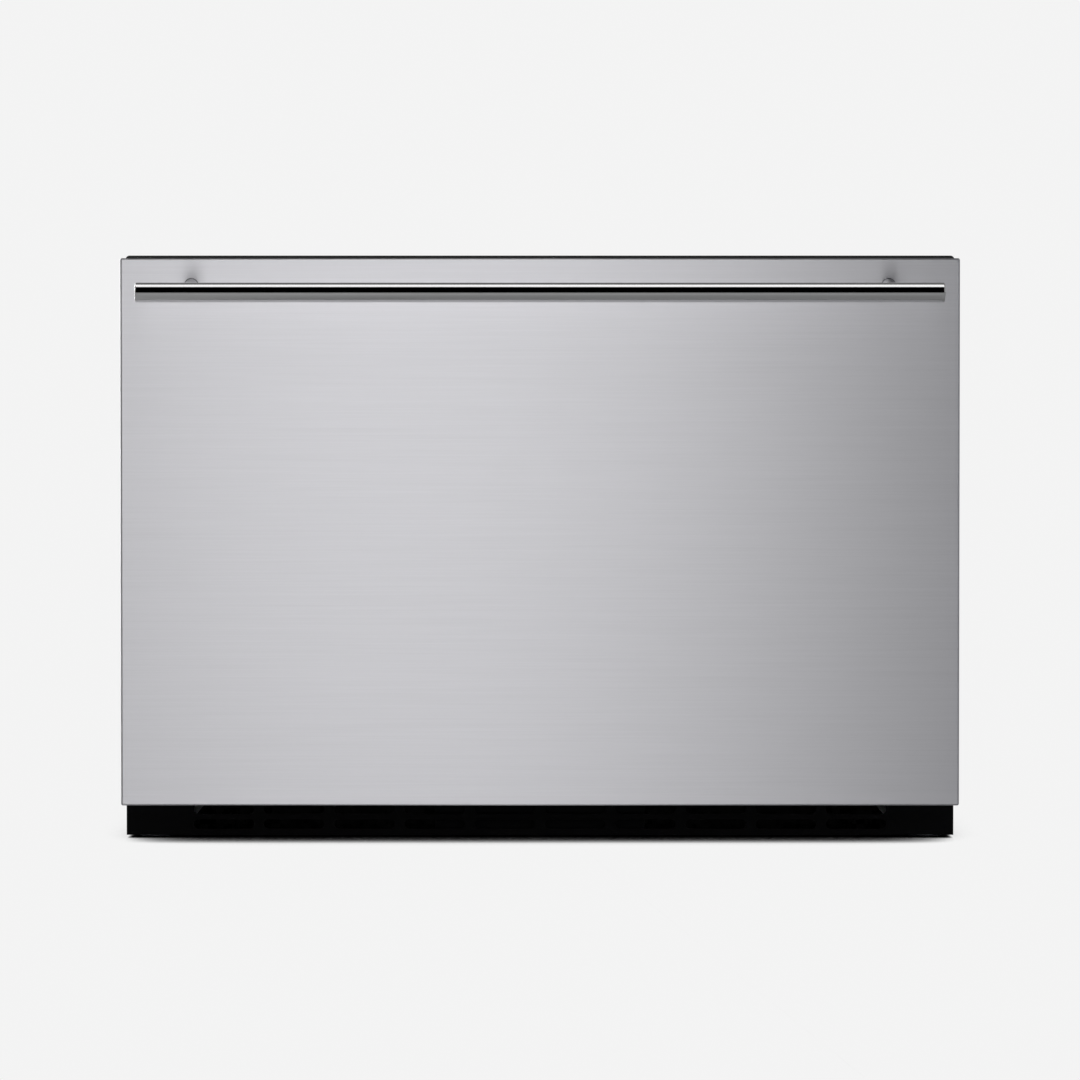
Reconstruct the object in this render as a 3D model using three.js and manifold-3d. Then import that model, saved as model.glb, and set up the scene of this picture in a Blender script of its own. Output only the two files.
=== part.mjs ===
// An under-counter refrigerator with one full-width drawer, as used in restaurant kitchens.
// Millimetres. +X is to the right of a person facing the drawer, the drawer faces -Y, +Z is up,
// and the origin lies on the floor under the middle of the object's box.
import * as THREE from 'three';
import { mergeVertices } from 'three/addons/utils/BufferGeometryUtils.js';
import Module from 'manifold-3d';

const wasm = await Module();
wasm.setup();

// ---------------------------------------------------------------- driving dimensions
const WIDTH = 600;
const HEIGHT = 422;
const DEPTH = 613; // from the front of the handle bar to the back panel
const GAP = 0.3; // clearance between pieces that touch

const BAR_DIAMETER = 14;
const BAR_LENGTH = 572;
const BAR_HEIGHT = 393; // centre of the bar above the floor
const HANDLE_STANDOFF = 38; // centre of the bar to the face of the drawer front
const POST_DIAMETER = 10;
const POST_SPACING = 498;
const POST_RISE = 6; // how much higher a post meets the drawer front than the bar

const FRONT_THICKNESS = 38;
const FRONT_BOTTOM = 27;
const FRONT_TOP = 418.5;
const GASKET_DEPTH = 10;

const SHEET = 1; // thickness of the folded steel panels
const FRAME_SHEET = 1.5;
const SHELL_RADIUS = 3;
const KICK_TOP = 31.5;
const KICK_BOTTOM = 2;

const CAVITY_HALF_WIDTH = 264;
const CAVITY_FLOOR = 68;
const CAVITY_CEILING = 386;
const CAVITY_REAR = 130; // rear wall behind the drawer bin
const COIL_FLOOR = 270; // floor of the recess that holds the evaporator
const COIL_REAR = 270;
const LINER_WALL = 2;

const MACHINE_ROOM_FRONT = 165;
const MACHINE_ROOM_TOP = 234;
const REAR_COVER = { halfWidth: 297, front: 302.5, sheet: 1.2, bottom: 60 };
const MACHINE_PLATE = {
  halfWidth: 261.5, front: 168, rear: 300, bottom: 4, sheet: 1.5, flangeSheet: 1.2,
};
const RAIL = { near: 262, far: 298.5, front: -211, rear: 298, bottom: 2.5, wall: 1.5 };
const INLET = { x: 230, z: 42, halfWidth: 15, halfHeight: 12 }; // mains inlet, at the back on the right

const SLIDE_HEIGHT = 150;
const SLIDE_FRONT = -205;
const SLIDE_LENGTH = 320;

const BIN_HALF_WIDTH = 247;
const BIN_FLOOR = 78.4;
const BIN_RIM = 298;
const BIN_FRONT = -214;
const BIN_REAR = 92;

const LEG_X = 280.25;
const STUD_RADIUS = 4; // of a levelling leg
const LEG_ROWS = { front: -190, rear: 270 };

const FAN_CENTRE = { y: 234, z: 100 }; // condenser fan, on an axis along X
const EVAPORATOR_FAN_HEIGHT = 328; // evaporator fan, on an axis along Y
const PIPE_PASSAGE = { x: -36, y: 260, half: 11 }; // a square opening, half its width
const DRAIN = { x: -120, y: 250, half: 9 };
const LINER_FLANGE = 6;
const TRIM = 1; // how far a cutting tool reaches past what it cuts

// ---------------------------------------------------------------- derived planes
const REAR = DEPTH / 2;
const BAR_Y = -DEPTH / 2 + BAR_DIAMETER / 2;
const FACE = BAR_Y + HANDLE_STANDOFF;
const FRONT_BACK = FACE + FRONT_THICKNESS;
const CABINET_FRONT = FRONT_BACK + GASKET_DEPTH;
const FRAME_BACK = CABINET_FRONT + FRAME_SHEET;
const SHELL_FRONT = FRAME_BACK + GAP;
const HALF = WIDTH / 2;
const FOAM_HALF = HALF - SHEET - GAP;
const BOX_BOTTOM = KICK_TOP + 0.5; // underside of the insulated box
const MACHINE_FLOOR = MACHINE_PLATE.bottom + MACHINE_PLATE.sheet + GAP; // where feet stand on the plate

// ---------------------------------------------------------------- materials
function finish(color, roughness, metalness) {
  return new THREE.MeshStandardMaterial({ color, roughness, metalness, flatShading: true });
}
const BRUSHED = finish(0xc6c6c5, 0.35, 0.95);
const POLISHED = finish(0xd6d6d6, 0.12, 1);
const BLACK_PAINT = finish(0x101012, 0.5, 0.2);
const GALVANISED = finish(0x9ea2a5, 0.45, 0.8);
const ZINC = finish(0xb9bcc0, 0.3, 0.9);
const LINER = finish(0xdfe1e0, 0.4, 0);
const FOAM = finish(0xe3cf96, 0.9, 0);
const GREY_RUBBER = finish(0x4a4b4d, 0.8, 0);
const BLACK_PLASTIC = finish(0x17181a, 0.5, 0);
const CLEAR_PLASTIC = finish(0xe9eef0, 0.2, 0);
const DISPLAY = finish(0x07090c, 0.15, 0);
const COPPER = finish(0xb8734a, 0.3, 0.9);
const ALUMINIUM = finish(0xc3c6c9, 0.35, 0.9);

// ---------------------------------------------------------------- solid helpers
const AXES = {
  x: new THREE.Vector3(1, 0, 0),
  y: new THREE.Vector3(0, 1, 0),
  z: new THREE.Vector3(0, 0, 1),
};

// A closed three.js geometry as a manifold solid, without the slivers at a lathe's poles.
function toSolid(geometry) {
  geometry.deleteAttribute('normal');
  geometry.deleteAttribute('uv');
  const merged = mergeVertices(geometry, 1e-4);
  const index = merged.index.array;
  const triangles = [];
  for (let i = 0; i < index.length; i += 3) {
    const [a, b, c] = [index[i], index[i + 1], index[i + 2]];
    if (a !== b && b !== c && c !== a) {
      triangles.push(a, b, c);
    }
  }
  return new wasm.Manifold(new wasm.Mesh({
    numProp: 3,
    vertProperties: merged.attributes.position.array,
    triVerts: new Uint32Array(triangles),
  }));
}

function toGeometry(solid) {
  const mesh = solid.getMesh();
  const geometry = new THREE.BufferGeometry();
  geometry.setAttribute('position', new THREE.BufferAttribute(mesh.vertProperties, 3));
  geometry.setIndex(new THREE.BufferAttribute(mesh.triVerts, 1));
  return geometry;
}

function part(name, solid, material) {
  const mesh = new THREE.Mesh(toGeometry(solid), material);
  mesh.name = name;
  return mesh;
}

function union(solids) {
  return solids.reduce((all, next) => all.add(next));
}

function cut(solid, tools) {
  return tools.reduce((left, tool) => left.subtract(tool), solid);
}

// Lowest and highest x of a piece on the right (side 1) or mirrored to the left (side -1).
function across(side, near, far) {
  return side > 0 ? [near, far] : [-far, -near];
}

function block([x0, x1], [y0, y1], [z0, z1]) {
  const geometry = new THREE.BoxGeometry(x1 - x0, y1 - y0, z1 - z0);
  geometry.translate((x0 + x1) / 2, (y0 + y1) / 2, (z0 + z1) / 2);
  return toSolid(geometry);
}

// A rectangle with rounded corners; radii of [low corners, high corners] may differ.
function roundedRectangle([u0, u1], [v0, v1], radius) {
  const [low, high] = Array.isArray(radius) ? radius : [radius, radius];
  const shape = new THREE.Shape();
  const corner = (u, v, r, start) => {
    if (r > 0) {
      shape.absarc(u, v, r, start, start + Math.PI / 2, false);
    } else {
      shape.lineTo(u, v);
    }
  };
  shape.moveTo(u0 + low, v0);
  corner(u1 - low, v0 + low, low, -Math.PI / 2);
  corner(u1 - high, v1 - high, high, 0);
  corner(u0 + high, v1 - high, high, Math.PI / 2);
  if (low > 0) {
    corner(u0 + low, v0 + low, low, Math.PI);
  }
  shape.closePath();
  return shape;
}

function polygon(points) {
  return new THREE.Shape(points.map(([u, v]) => new THREE.Vector2(u, v)));
}

// Extrudes a shape along an axis: the shape lies in (y, z) for x, in (x, z) for y, in (x, y) for z.
function extrude(shape, axis, from, to, curveSegments = 4) {
  const geometry = new THREE.ExtrudeGeometry(shape, {
    depth: to - from,
    bevelEnabled: false,
    curveSegments,
  });
  const placed = new THREE.Matrix4();
  if (axis === 'x') {
    placed.makeBasis(AXES.y, AXES.z, AXES.x).setPosition(from, 0, 0);
  } else if (axis === 'y') {
    placed.makeBasis(AXES.x, AXES.z, AXES.y.clone().negate()).setPosition(0, to, 0);
  } else {
    placed.setPosition(0, 0, from);
  }
  geometry.applyMatrix4(placed);
  return toSolid(geometry);
}

// A round rod between two points.
function rod(start, end, radius, sides = 16, endRadius = radius) {
  const from = new THREE.Vector3(...start);
  const to = new THREE.Vector3(...end);
  const along = to.clone().sub(from);
  const geometry = new THREE.CylinderGeometry(endRadius, radius, along.length(), sides);
  geometry.translate(0, along.length() / 2, 0);
  geometry.applyQuaternion(new THREE.Quaternion().setFromUnitVectors(AXES.y, along.normalize()));
  geometry.translate(from.x, from.y, from.z);
  return toSolid(geometry);
}

// A bent tube or pipe, solid inside, along a smooth curve through the given points.
function pipe(points, radius, steps = 26, sides = 8) {
  const path = new THREE.CatmullRomCurve3(
    points.map((point) => new THREE.Vector3(...point)), false, 'centripetal');
  const section = new THREE.Shape();
  for (let i = 0; i < sides; i += 1) {
    const angle = (2 * Math.PI * i) / sides;
    const [u, v] = [radius * Math.cos(angle), radius * Math.sin(angle)];
    if (i === 0) {
      section.moveTo(u, v);
    } else {
      section.lineTo(u, v);
    }
  }
  section.closePath();
  return toSolid(new THREE.ExtrudeGeometry(section, { extrudePath: path, steps }));
}

function outerShell() {
  const inner = HALF - SHEET;
  const flangeWidth = 15;
  const wrap = extrude(
    roundedRectangle([-HALF, HALF], [KICK_BOTTOM, HEIGHT], [0, SHELL_RADIUS]),
    'y', SHELL_FRONT, REAR);
  const hollow = extrude(
    roundedRectangle([-inner, inner], [0, HEIGHT - SHEET], [0, SHELL_RADIUS - SHEET]),
    'y', SHELL_FRONT - TRIM, REAR + TRIM);
  const rearFlanges = [-1, 1].map((side) => block(
    across(side, inner - flangeWidth, inner + SHEET / 2),
    [REAR_COVER.front - FRAME_SHEET, REAR_COVER.front - GAP],
    [MACHINE_PLATE.bottom, MACHINE_ROOM_TOP - 1]));
  return union([wrap.subtract(hollow), ...rearFlanges]);
}

// Where the refrigerant pipes and the drain pass between the cold space and the machine room.
function passages(extra) {
  const reach = 5;
  return [PIPE_PASSAGE, DRAIN].map(({ x, y, half }) => block(
    [x - half - extra, x + half + extra],
    [y - half - extra, y + half + extra],
    [MACHINE_ROOM_TOP - reach, COIL_FLOOR + reach]));
}

function undersidePanel() {
  const rear = REAR - SHEET - GAP;
  const profile = polygon([
    [SHELL_FRONT, BOX_BOTTOM],
    [MACHINE_ROOM_FRONT + SHEET, BOX_BOTTOM],
    [MACHINE_ROOM_FRONT + SHEET, MACHINE_ROOM_TOP],
    [rear, MACHINE_ROOM_TOP],
    [rear, MACHINE_ROOM_TOP + SHEET],
    [MACHINE_ROOM_FRONT, MACHINE_ROOM_TOP + SHEET],
    [MACHINE_ROOM_FRONT, BOX_BOTTOM + SHEET],
    [SHELL_FRONT, BOX_BOTTOM + SHEET],
  ]);
  return cut(extrude(profile, 'x', -FOAM_HALF, FOAM_HALF), passages(0));
}

function backPanel() {
  return extrude(
    roundedRectangle([-FOAM_HALF, FOAM_HALF], [MACHINE_ROOM_TOP, HEIGHT - SHEET - GAP], [0, SHELL_RADIUS]),
    'y', REAR - SHEET, REAR);
}

function frontFrame() {
  const plate = extrude(
    roundedRectangle([-HALF, HALF], [BOX_BOTTOM, HEIGHT], [0, SHELL_RADIUS]),
    'y', CABINET_FRONT, FRAME_BACK);
  const opening = block(
    [-CAVITY_HALF_WIDTH, CAVITY_HALF_WIDTH],
    [CABINET_FRONT - TRIM, FRAME_BACK + TRIM],
    [CAVITY_FLOOR, CAVITY_CEILING]);
  return plate.subtract(opening);
}

// The cavity's outline pushed out by a margin, for the lower and the upper rear space.
function cavityBlocks(margin, front) {
  const sides = [-CAVITY_HALF_WIDTH - margin, CAVITY_HALF_WIDTH + margin];
  const top = CAVITY_CEILING + margin;
  const overlap = 40;
  const lower = block(sides, [front, CAVITY_REAR + margin], [CAVITY_FLOOR - margin, top]);
  const upper = block(sides, [CAVITY_REAR - overlap, COIL_REAR + margin], [COIL_FLOOR - margin, top]);
  return lower.add(upper);
}

// The flat flange around the liner's mouth, with room left around it when it is cut from the foam.
function linerFlange(room, front) {
  const reach = LINER_WALL + LINER_FLANGE + room;
  return block(
    [-CAVITY_HALF_WIDTH - reach, CAVITY_HALF_WIDTH + reach],
    [front, SHELL_FRONT + LINER_WALL + room],
    [CAVITY_FLOOR - reach, CAVITY_CEILING + reach]);
}

function innerLiner() {
  const outside = cavityBlocks(LINER_WALL, SHELL_FRONT).add(linerFlange(0, SHELL_FRONT));
  return cut(outside, [cavityBlocks(0, SHELL_FRONT - TRIM), ...passages(0)]);
}

function foamInsulation() {
  const overlap = 20;
  const deep = extrude(
    roundedRectangle(
      [-FOAM_HALF, FOAM_HALF], [MACHINE_ROOM_TOP + SHEET + GAP, HEIGHT - SHEET - GAP], [0, SHELL_RADIUS]),
    'y', SHELL_FRONT, REAR - SHEET - GAP);
  const lower = block(
    [-FOAM_HALF, FOAM_HALF],
    [SHELL_FRONT, MACHINE_ROOM_FRONT - GAP],
    [BOX_BOTTOM + SHEET + GAP, MACHINE_ROOM_TOP + overlap]);
  return cut(deep.add(lower), [
    cavityBlocks(LINER_WALL + GAP, SHELL_FRONT - TRIM),
    linerFlange(GAP, SHELL_FRONT - TRIM),
    ...passages(GAP),
  ]);
}

// A flat strip with two rows of slots whose ends are almost half round.
function kickGrille() {
  const columns = 10;
  const pitch = 51;
  const halfLength = 22;
  const rows = [[6.4, 13.3], [17.2, 24.1]];
  const plate = polygon([[-HALF, KICK_BOTTOM], [HALF, KICK_BOTTOM], [HALF, KICK_TOP], [-HALF, KICK_TOP]]);
  for (const [low, high] of rows) {
    for (let column = 0; column < columns; column += 1) {
      const centre = (column - (columns - 1) / 2) * pitch;
      plate.holes.push(roundedRectangle(
        [centre - halfLength, centre + halfLength], [low, high], (high - low) / 2 - 0.1));
    }
  }
  return extrude(plate, 'y', CABINET_FRONT, FRAME_BACK, 1);
}

// A tee seen from above: it blocks the middle of the grille and parts intake from exhaust.
function airDivider() {
  const sheet = 1.5;
  const halfWidth = 76;
  const front = CABINET_FRONT + 5.5;
  const webRear = 160;
  const height = [4.5, KICK_TOP - GAP];
  const plate = block([-halfWidth, halfWidth], [front, front + sheet], height);
  const web = block([-sheet / 2, sheet / 2], [front + TRIM, webRear], height);
  return plate.add(web);
}

// A channel along one side of the base, with a threaded boss over each levelling leg.
function baseRail(side) {
  const { near, far, front, rear, bottom, wall } = RAIL;
  const [bossRadius, bossBottom] = [7, 16];
  const channel = block(across(side, near, far), [front, rear], [bottom, KICK_TOP]);
  const hollow = block(
    across(side, near + wall, far - wall), [front - TRIM, rear + TRIM], [0, KICK_TOP - wall]);
  const bosses = Object.values(LEG_ROWS).map((y) => rod(
    [side * LEG_X, y, bossBottom], [side * LEG_X, y, KICK_TOP - wall / 2], bossRadius, 16));
  const bores = Object.values(LEG_ROWS).map((y) => rod(
    [side * LEG_X, y, bossBottom - TRIM], [side * LEG_X, y, KICK_TOP + TRIM], STUD_RADIUS + GAP, 16));
  return cut(union([channel.subtract(hollow), ...bosses]), bores);
}

// A block centred on the mains inlet as it is seen from the back.
function inletBlock(halfWidth, halfHeight, depth) {
  return block(
    [INLET.x - halfWidth, INLET.x + halfWidth], depth, [INLET.z - halfHeight, INLET.z + halfHeight]);
}

// The tray that the compressor and the fan stand on; its rear flange carries the mains inlet.
function machinePlate() {
  const { front, rear, bottom, sheet, flangeSheet } = MACHINE_PLATE;
  const width = [-MACHINE_PLATE.halfWidth, MACHINE_PLATE.halfWidth];
  const [frontFlangeTop, slotHalf, slotBottom] = [17, 240, 7];
  const floor = block(width, [front, rear], [bottom, bottom + sheet]);
  const frontFlange = block(width, [front, front + flangeSheet], [bottom, frontFlangeTop]);
  const airSlot = block(
    [-slotHalf, slotHalf], [front - TRIM, front + flangeSheet + TRIM], [slotBottom, frontFlangeTop - 1]);
  const rearFlange = block(width, [rear - flangeSheet, rear], [bottom, REAR_COVER.bottom - 1]);
  const cutOut = inletBlock(
    INLET.halfWidth + GAP, INLET.halfHeight + GAP, [rear - flangeSheet - TRIM, rear + TRIM]);
  return union([floor, frontFlange.subtract(airSlot), rearFlange.subtract(cutOut)]);
}

function rearCover() {
  const { halfWidth, front, sheet, bottom } = REAR_COVER;
  const rows = 5;
  const [firstRow, rowPitch, slotHeight, slotHalf] = [84, 26, 6, 30];
  const centres = [-210, -130, -50, 50, 130, 210];
  const openings = [];
  for (let row = 0; row < rows; row += 1) {
    const low = firstRow + row * rowPitch;
    for (const centre of centres) {
      openings.push(block(
        [centre - slotHalf, centre + slotHalf],
        [front - TRIM, front + sheet + TRIM],
        [low, low + slotHeight]));
    }
  }
  const plate = block([-halfWidth, halfWidth], [front, front + sheet], [bottom, MACHINE_ROOM_TOP - 1]);
  return plate.subtract(union(openings));
}

// ---------------------------------------------------------------- machine room
const COMPRESSOR = { x: -150, y: 236, radius: 60, squeeze: 52 / 60, base: 24, top: 152 };
const STUB_END = -95; // x where the pipes are brazed to the compressor
const SUCTION_STUB = { y: 270, z: 90 };
const DISCHARGE_STUB = { y: 202, z: 45 };

function compressor() {
  const { x, y, radius, squeeze, base, top } = COMPRESSOR;
  const profile = [
    [0, base], [46, base], [57, base + 9], [radius, base + 34], [radius, base + 80],
    [57, base + 102], [45, base + 118], [24, base + 126], [0, top],
  ].map(([r, z]) => new THREE.Vector2(r, z));
  const can = new THREE.LatheGeometry(profile, 24);
  can.rotateX(Math.PI / 2);
  can.scale(1, squeeze, 1);
  can.translate(x, y, 0);
  const [plateHalfX, plateHalfY, plateBottom, plateTop] = [68, 40, 18, 21];
  const footPlate = block(
    [x - plateHalfX, x + plateHalfX], [y - plateHalfY, y + plateHalfY], [plateBottom, plateTop]);
  const neck = block([x - 36, x + 36], [y - 30, y + 30], [plateTop - TRIM, base + 4]);
  const [footX, footY, footRadius, stubRadius] = [58, 32, 8, 5];
  const feet = [];
  for (const dx of [-footX, footX]) {
    for (const dy of [-footY, footY]) {
      feet.push(rod([x + dx, y + dy, MACHINE_FLOOR], [x + dx, y + dy, plateBottom + TRIM], footRadius, 12));
    }
  }
  const stubs = [SUCTION_STUB, DISCHARGE_STUB].map((stub) => rod(
    [x + 20, stub.y, stub.z], [STUB_END, stub.y, stub.z], stubRadius, 10));
  return union([toSolid(can), footPlate, neck, ...feet, ...stubs]);
}

// The cover over the compressor's terminals, start relay and overload switch.
function relayCover() {
  const { x, y, radius } = COMPRESSOR;
  const [halfDepth, bottom, top, corner, length] = [21, 70, 120, 5, 27.5];
  const start = x + radius + 0.5;
  const outline = roundedRectangle([y - halfDepth, y + halfDepth], [bottom, top], corner);
  return extrude(outline, 'x', start, start + length, 3);
}

// A block of parallel fins on through bars: fins stand across `axis`, bars run along it.
function finBlock(axis, spans, finCount, finThickness, barSections) {
  const [from, to] = spans[axis];
  const pitch = (to - from - finThickness) / (finCount - 1);
  const solids = [];
  for (let i = 0; i < finCount; i += 1) {
    const start = from + i * pitch;
    const fin = { ...spans, [axis]: [start, start + finThickness] };
    solids.push(block(fin.x, fin.y, fin.z));
  }
  for (const section of barSections) {
    const bar = { ...spans, ...section };
    solids.push(block(bar.x, bar.y, bar.z));
  }
  return union(solids);
}

const FIN_THICKNESS = 1.4;
const CONDENSER = { x: [122, 170], y: [172, 296], z: [10, 190] };
const SHROUD = { left: 96, right: 110, half: 60, bore: 55, arm: 2.5 };

function condenserCoil() {
  const tubeSpan = [CONDENSER.z[0] + 20, CONDENSER.z[1] - 20];
  return finBlock('y', CONDENSER, 10, FIN_THICKNESS, [
    { x: [132, 140], z: tubeSpan },
    { x: [152, 160], z: tubeSpan },
  ]);
}

// A square housing with a round air way, and a cross of arms that carries the motor.
function fanShroud() {
  const { y, z } = FAN_CENTRE;
  const { left, right, half, bore, arm } = SHROUD;
  const ring = extrude(roundedRectangle([y - half, y + half], [z - half, z + half], 6), 'x', left, right, 3);
  const airWay = rod([left - TRIM, y, z], [right + TRIM, y, z], bore, 28);
  const [armHalf, seatRadius, shaftRadius, footWidth] = [4, 22, 3.2, 12];
  const inRing = half - 2;
  const arms = [
    block([left, left + arm], [y - inRing, y + inRing], [z - armHalf, z + armHalf]),
    block([left, left + arm], [y - armHalf, y + armHalf], [z - inRing, z + inRing]),
  ];
  const seat = rod([left, y, z], [left + arm, y, z], seatRadius, 20);
  const shaftHole = rod([left - TRIM, y, z], [left + arm + TRIM, y, z], shaftRadius, 12);
  const feet = [y - 50, y + 50 - footWidth].map((start) => block(
    [left, right], [start, start + footWidth], [MACHINE_FLOOR, z - half + 4]));
  return union([ring.subtract(airWay), ...arms, seat, ...feet]).subtract(shaftHole);
}

function fanMotor() {
  const { y, z } = FAN_CENTRE;
  const [radius, canStart, capRadius, capStart] = [20, 72, 9, 68];
  const can = rod([canStart, y, z], [SHROUD.left - GAP, y, z], radius, 20);
  const cap = rod([capStart, y, z], [canStart + TRIM, y, z], capRadius, 14);
  return can.add(cap);
}

// A fan about the local Z axis: pitched blades on a hub, with a short shaft on its low side.
function fanRotor({ hubRadius, tipRadius, halfHub, blades, chord, pitch, shaft, shaftLength }) {
  const hub = rod([0, 0, -halfHub], [0, 0, halfHub], hubRadius, 20);
  const stub = rod([0, 0, -halfHub - shaftLength], [0, 0, -halfHub + 1], shaft, 10);
  const solids = [hub, stub];
  for (let i = 0; i < blades; i += 1) {
    const blade = new THREE.BoxGeometry(tipRadius - hubRadius + 6, chord, 1.6);
    blade.translate((tipRadius + hubRadius) / 2 - 1, 0, 0);
    blade.rotateX(pitch);
    blade.rotateZ((2 * Math.PI * i) / blades);
    solids.push(toSolid(blade));
  }
  return union(solids).intersect(rod([0, 0, -40], [0, 0, 40], tipRadius, 32));
}

const DRIER = { x: -20, y: 225, bottom: 40, top: 130, radius: 8 };
const LIQUID_LINE = [
  [-20, 225, 45], [-20, 226, 30], [-4, 232, 20], [40, 246, 18], [80, 250, 18], [121.5, 250, 18],
];
const LIQUID_LINE_RADIUS = 2.5;
const DISCHARGE_RADIUS = 2.5;
const SUCTION_RADIUS = 4;
const CAPILLARY_RADIUS = 1.5;

function filterDrier() {
  const { x, y, bottom, top, radius } = DRIER;
  const body = new THREE.LatheGeometry([
    [0, bottom], [3, bottom], [radius, bottom + 10], [radius, top - 10], [3, top], [0, top],
  ].map(([r, z]) => new THREE.Vector2(r, z)), 14);
  body.rotateX(Math.PI / 2);
  body.translate(x, y, 0);
  return toSolid(body).add(pipe(LIQUID_LINE, LIQUID_LINE_RADIUS, 20));
}

const DISCHARGE_ROUTE = [
  [-94.7, 202, 45], [-78, 202, 44], [-50, 204, 30], [0, 206, 22], [60, 214, 18], [121.5, 220, 18],
];
const SUCTION_ROUTE = [
  [-94.7, 270, 90], [-76, 270, 91], [-54, 267, 104], [-42, 261, 130], [-40, 260, 170],
  [-40, 260, 230], [-40, 260, 290], [-40, 252, 318], [-40, 232, 328], [-40, 215.5, 328],
];
const CAPILLARY_ROUTE = [
  [-20, 225, 130.5], [-20, 226, 144], [-26, 244, 166], [-30, 258, 190], [-30, 260, 230],
  [-30, 260, 280], [-30, 252, 300], [-30, 234, 308], [-30, 215.5, 308],
];

// The pan on the compressor, whose warmth dries up the defrost water.
function drainPan() {
  const [wall, corner, bottom, top] = [1.5, 8, COMPRESSOR.top + 0.5, 180];
  const [left, right, front, rear] = [-215, -75, 182, 294];
  const outside = extrude(roundedRectangle([left, right], [front, rear], corner), 'z', bottom, top, 3);
  const inside = extrude(
    roundedRectangle([left + wall, right - wall], [front + wall, rear - wall], corner - wall),
    'z', bottom + wall, top + TRIM, 3);
  return outside.subtract(inside);
}

function drainHose() {
  const { x, y, half } = DRAIN;
  const [bottom, top, wall] = [162, COIL_FLOOR - 0.5, 2];
  const outside = rod([x, y, bottom], [x, y, top], half - 1, 14);
  return outside.subtract(rod([x, y, bottom - TRIM], [x, y, top + TRIM], half - 1 - wall, 14));
}

function powerInlet() {
  const rear = MACHINE_PLATE.rear;
  const [flangeHalfWidth, flangeHalfHeight, socketHalfWidth, socketHalfHeight] = [24, 15, 12.5, 8.5];
  const flange = inletBlock(flangeHalfWidth, flangeHalfHeight, [rear + GAP, rear + 3]);
  const body = inletBlock(INLET.halfWidth, INLET.halfHeight, [rear - 22, rear + 4.5]);
  const socket = inletBlock(socketHalfWidth, socketHalfHeight, [rear - 16, REAR + TRIM]);
  return flange.add(body).subtract(socket);
}

function evaporatorCoil() {
  const tubeSpan = [298, 357];
  return finBlock('x', { x: [-190, 190], y: [160, 215], z: [285, 370] }, 12, FIN_THICKNESS, [
    { y: [172, 180], z: tubeSpan },
    { y: [196, 204], z: tubeSpan },
  ]);
}

// The panel in front of the evaporator: a guarded fan opening between two groups of air slots.
function evaporatorCover() {
  const half = CAVITY_HALF_WIDTH - GAP;
  const z = EVAPORATOR_FAN_HEIGHT;
  const depth = [CAVITY_REAR - 3, CAVITY_REAR - 0.5];
  const through = [depth[0] - TRIM, depth[1] + TRIM];
  const [holeRadius, barHalf, slotsPerSide, firstSlot, slotPitch, slotWidth] = [40, 2, 6, 110, 22, 8];
  const barEnd = holeRadius + 2;
  const plate = block([-half, half], depth, [COIL_FLOOR + GAP, CAVITY_CEILING - GAP]);
  const hole = rod([0, through[0], z], [0, through[1], z], holeRadius, 28);
  const guard = [
    block([-barEnd, barEnd], depth, [z - barHalf, z + barHalf]),
    block([-barHalf, barHalf], depth, [z - barEnd, z + barEnd]),
  ];
  const slots = [];
  for (const side of [-1, 1]) {
    for (let i = 0; i < slotsPerSide; i += 1) {
      const near = firstSlot + i * slotPitch;
      slots.push(block(across(side, near, near + slotWidth), through, [z - 40, z + 24]));
    }
  }
  return union([cut(plate, [hole, ...slots]), ...guard]);
}

function evaporatorFanFrame() {
  const z = EVAPORATOR_FAN_HEIGHT;
  const [half, bore, depth, arm, armHalf, seatRadius] = [46, 43, 25, 2.5, 3, 17];
  const front = CAVITY_REAR - 0.2;
  const back = front + depth;
  const body = extrude(roundedRectangle([-half, half], [z - half, z + half], 5), 'y', front, back, 3);
  const airWay = rod([0, front - TRIM, z], [0, back + TRIM, z], bore, 28);
  const arms = [
    block([-half + 1, half - 1], [back - arm, back], [z - armHalf, z + armHalf]),
    block([-armHalf, armHalf], [back - arm, back], [z - half + 1, z + half - 1]),
  ];
  const seat = rod([0, back - arm, z], [0, back, z], seatRadius, 20);
  return union([body.subtract(airWay), ...arms, seat]);
}

const LAMP = { halfLength: 60, y: [-150, -110], bottom: 374, top: CAVITY_CEILING - GAP, wall: 2 };

// A block inside the lamp's housing, that far in from its sides and ends.
function lampBlock(inset, height) {
  const half = LAMP.halfLength - inset;
  return block([-half, half], [LAMP.y[0] + inset, LAMP.y[1] - inset], height);
}

function lampHousing() {
  const { bottom, top, wall } = LAMP;
  return lampBlock(0, [bottom, top]).subtract(lampBlock(wall, [bottom - TRIM, top - wall]));
}

function lampLens() {
  return lampBlock(LAMP.wall + GAP, [LAMP.bottom + GAP, LAMP.bottom + GAP + 2]);
}

const PANEL = { x: [90, 190], front: -185, back: -150, z: [366, CAVITY_CEILING - GAP] };
const WINDOW = { x: [100, 135], z: [370, 381], depth: 1.2 }; // display in the control panel
const BUTTONS = { button_power: 148, button_warmer: 162, button_colder: 176 };
const BUTTON_HEIGHT = 375.5;
const BUTTON_RADIUS = 4;
const BUTTON_LENGTH = 8.5;
const BUTTON_PROUD = 2;
const BUTTON_TRAVEL = 1;

function controlPanel() {
  const { front } = PANEL;
  const body = block(PANEL.x, [front, PANEL.back], PANEL.z);
  const window = block(
    [WINDOW.x[0] - GAP, WINDOW.x[1] + GAP],
    [front - TRIM, front + WINDOW.depth + GAP],
    [WINDOW.z[0] - GAP, WINDOW.z[1] + GAP]);
  const wellEnd = front - BUTTON_PROUD + BUTTON_LENGTH + BUTTON_TRAVEL + 0.5;
  const wells = Object.values(BUTTONS).map((x) => rod(
    [x, front - TRIM, BUTTON_HEIGHT], [x, wellEnd, BUTTON_HEIGHT], BUTTON_RADIUS + 0.4, 16));
  return cut(body, [window, ...wells]);
}

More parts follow.
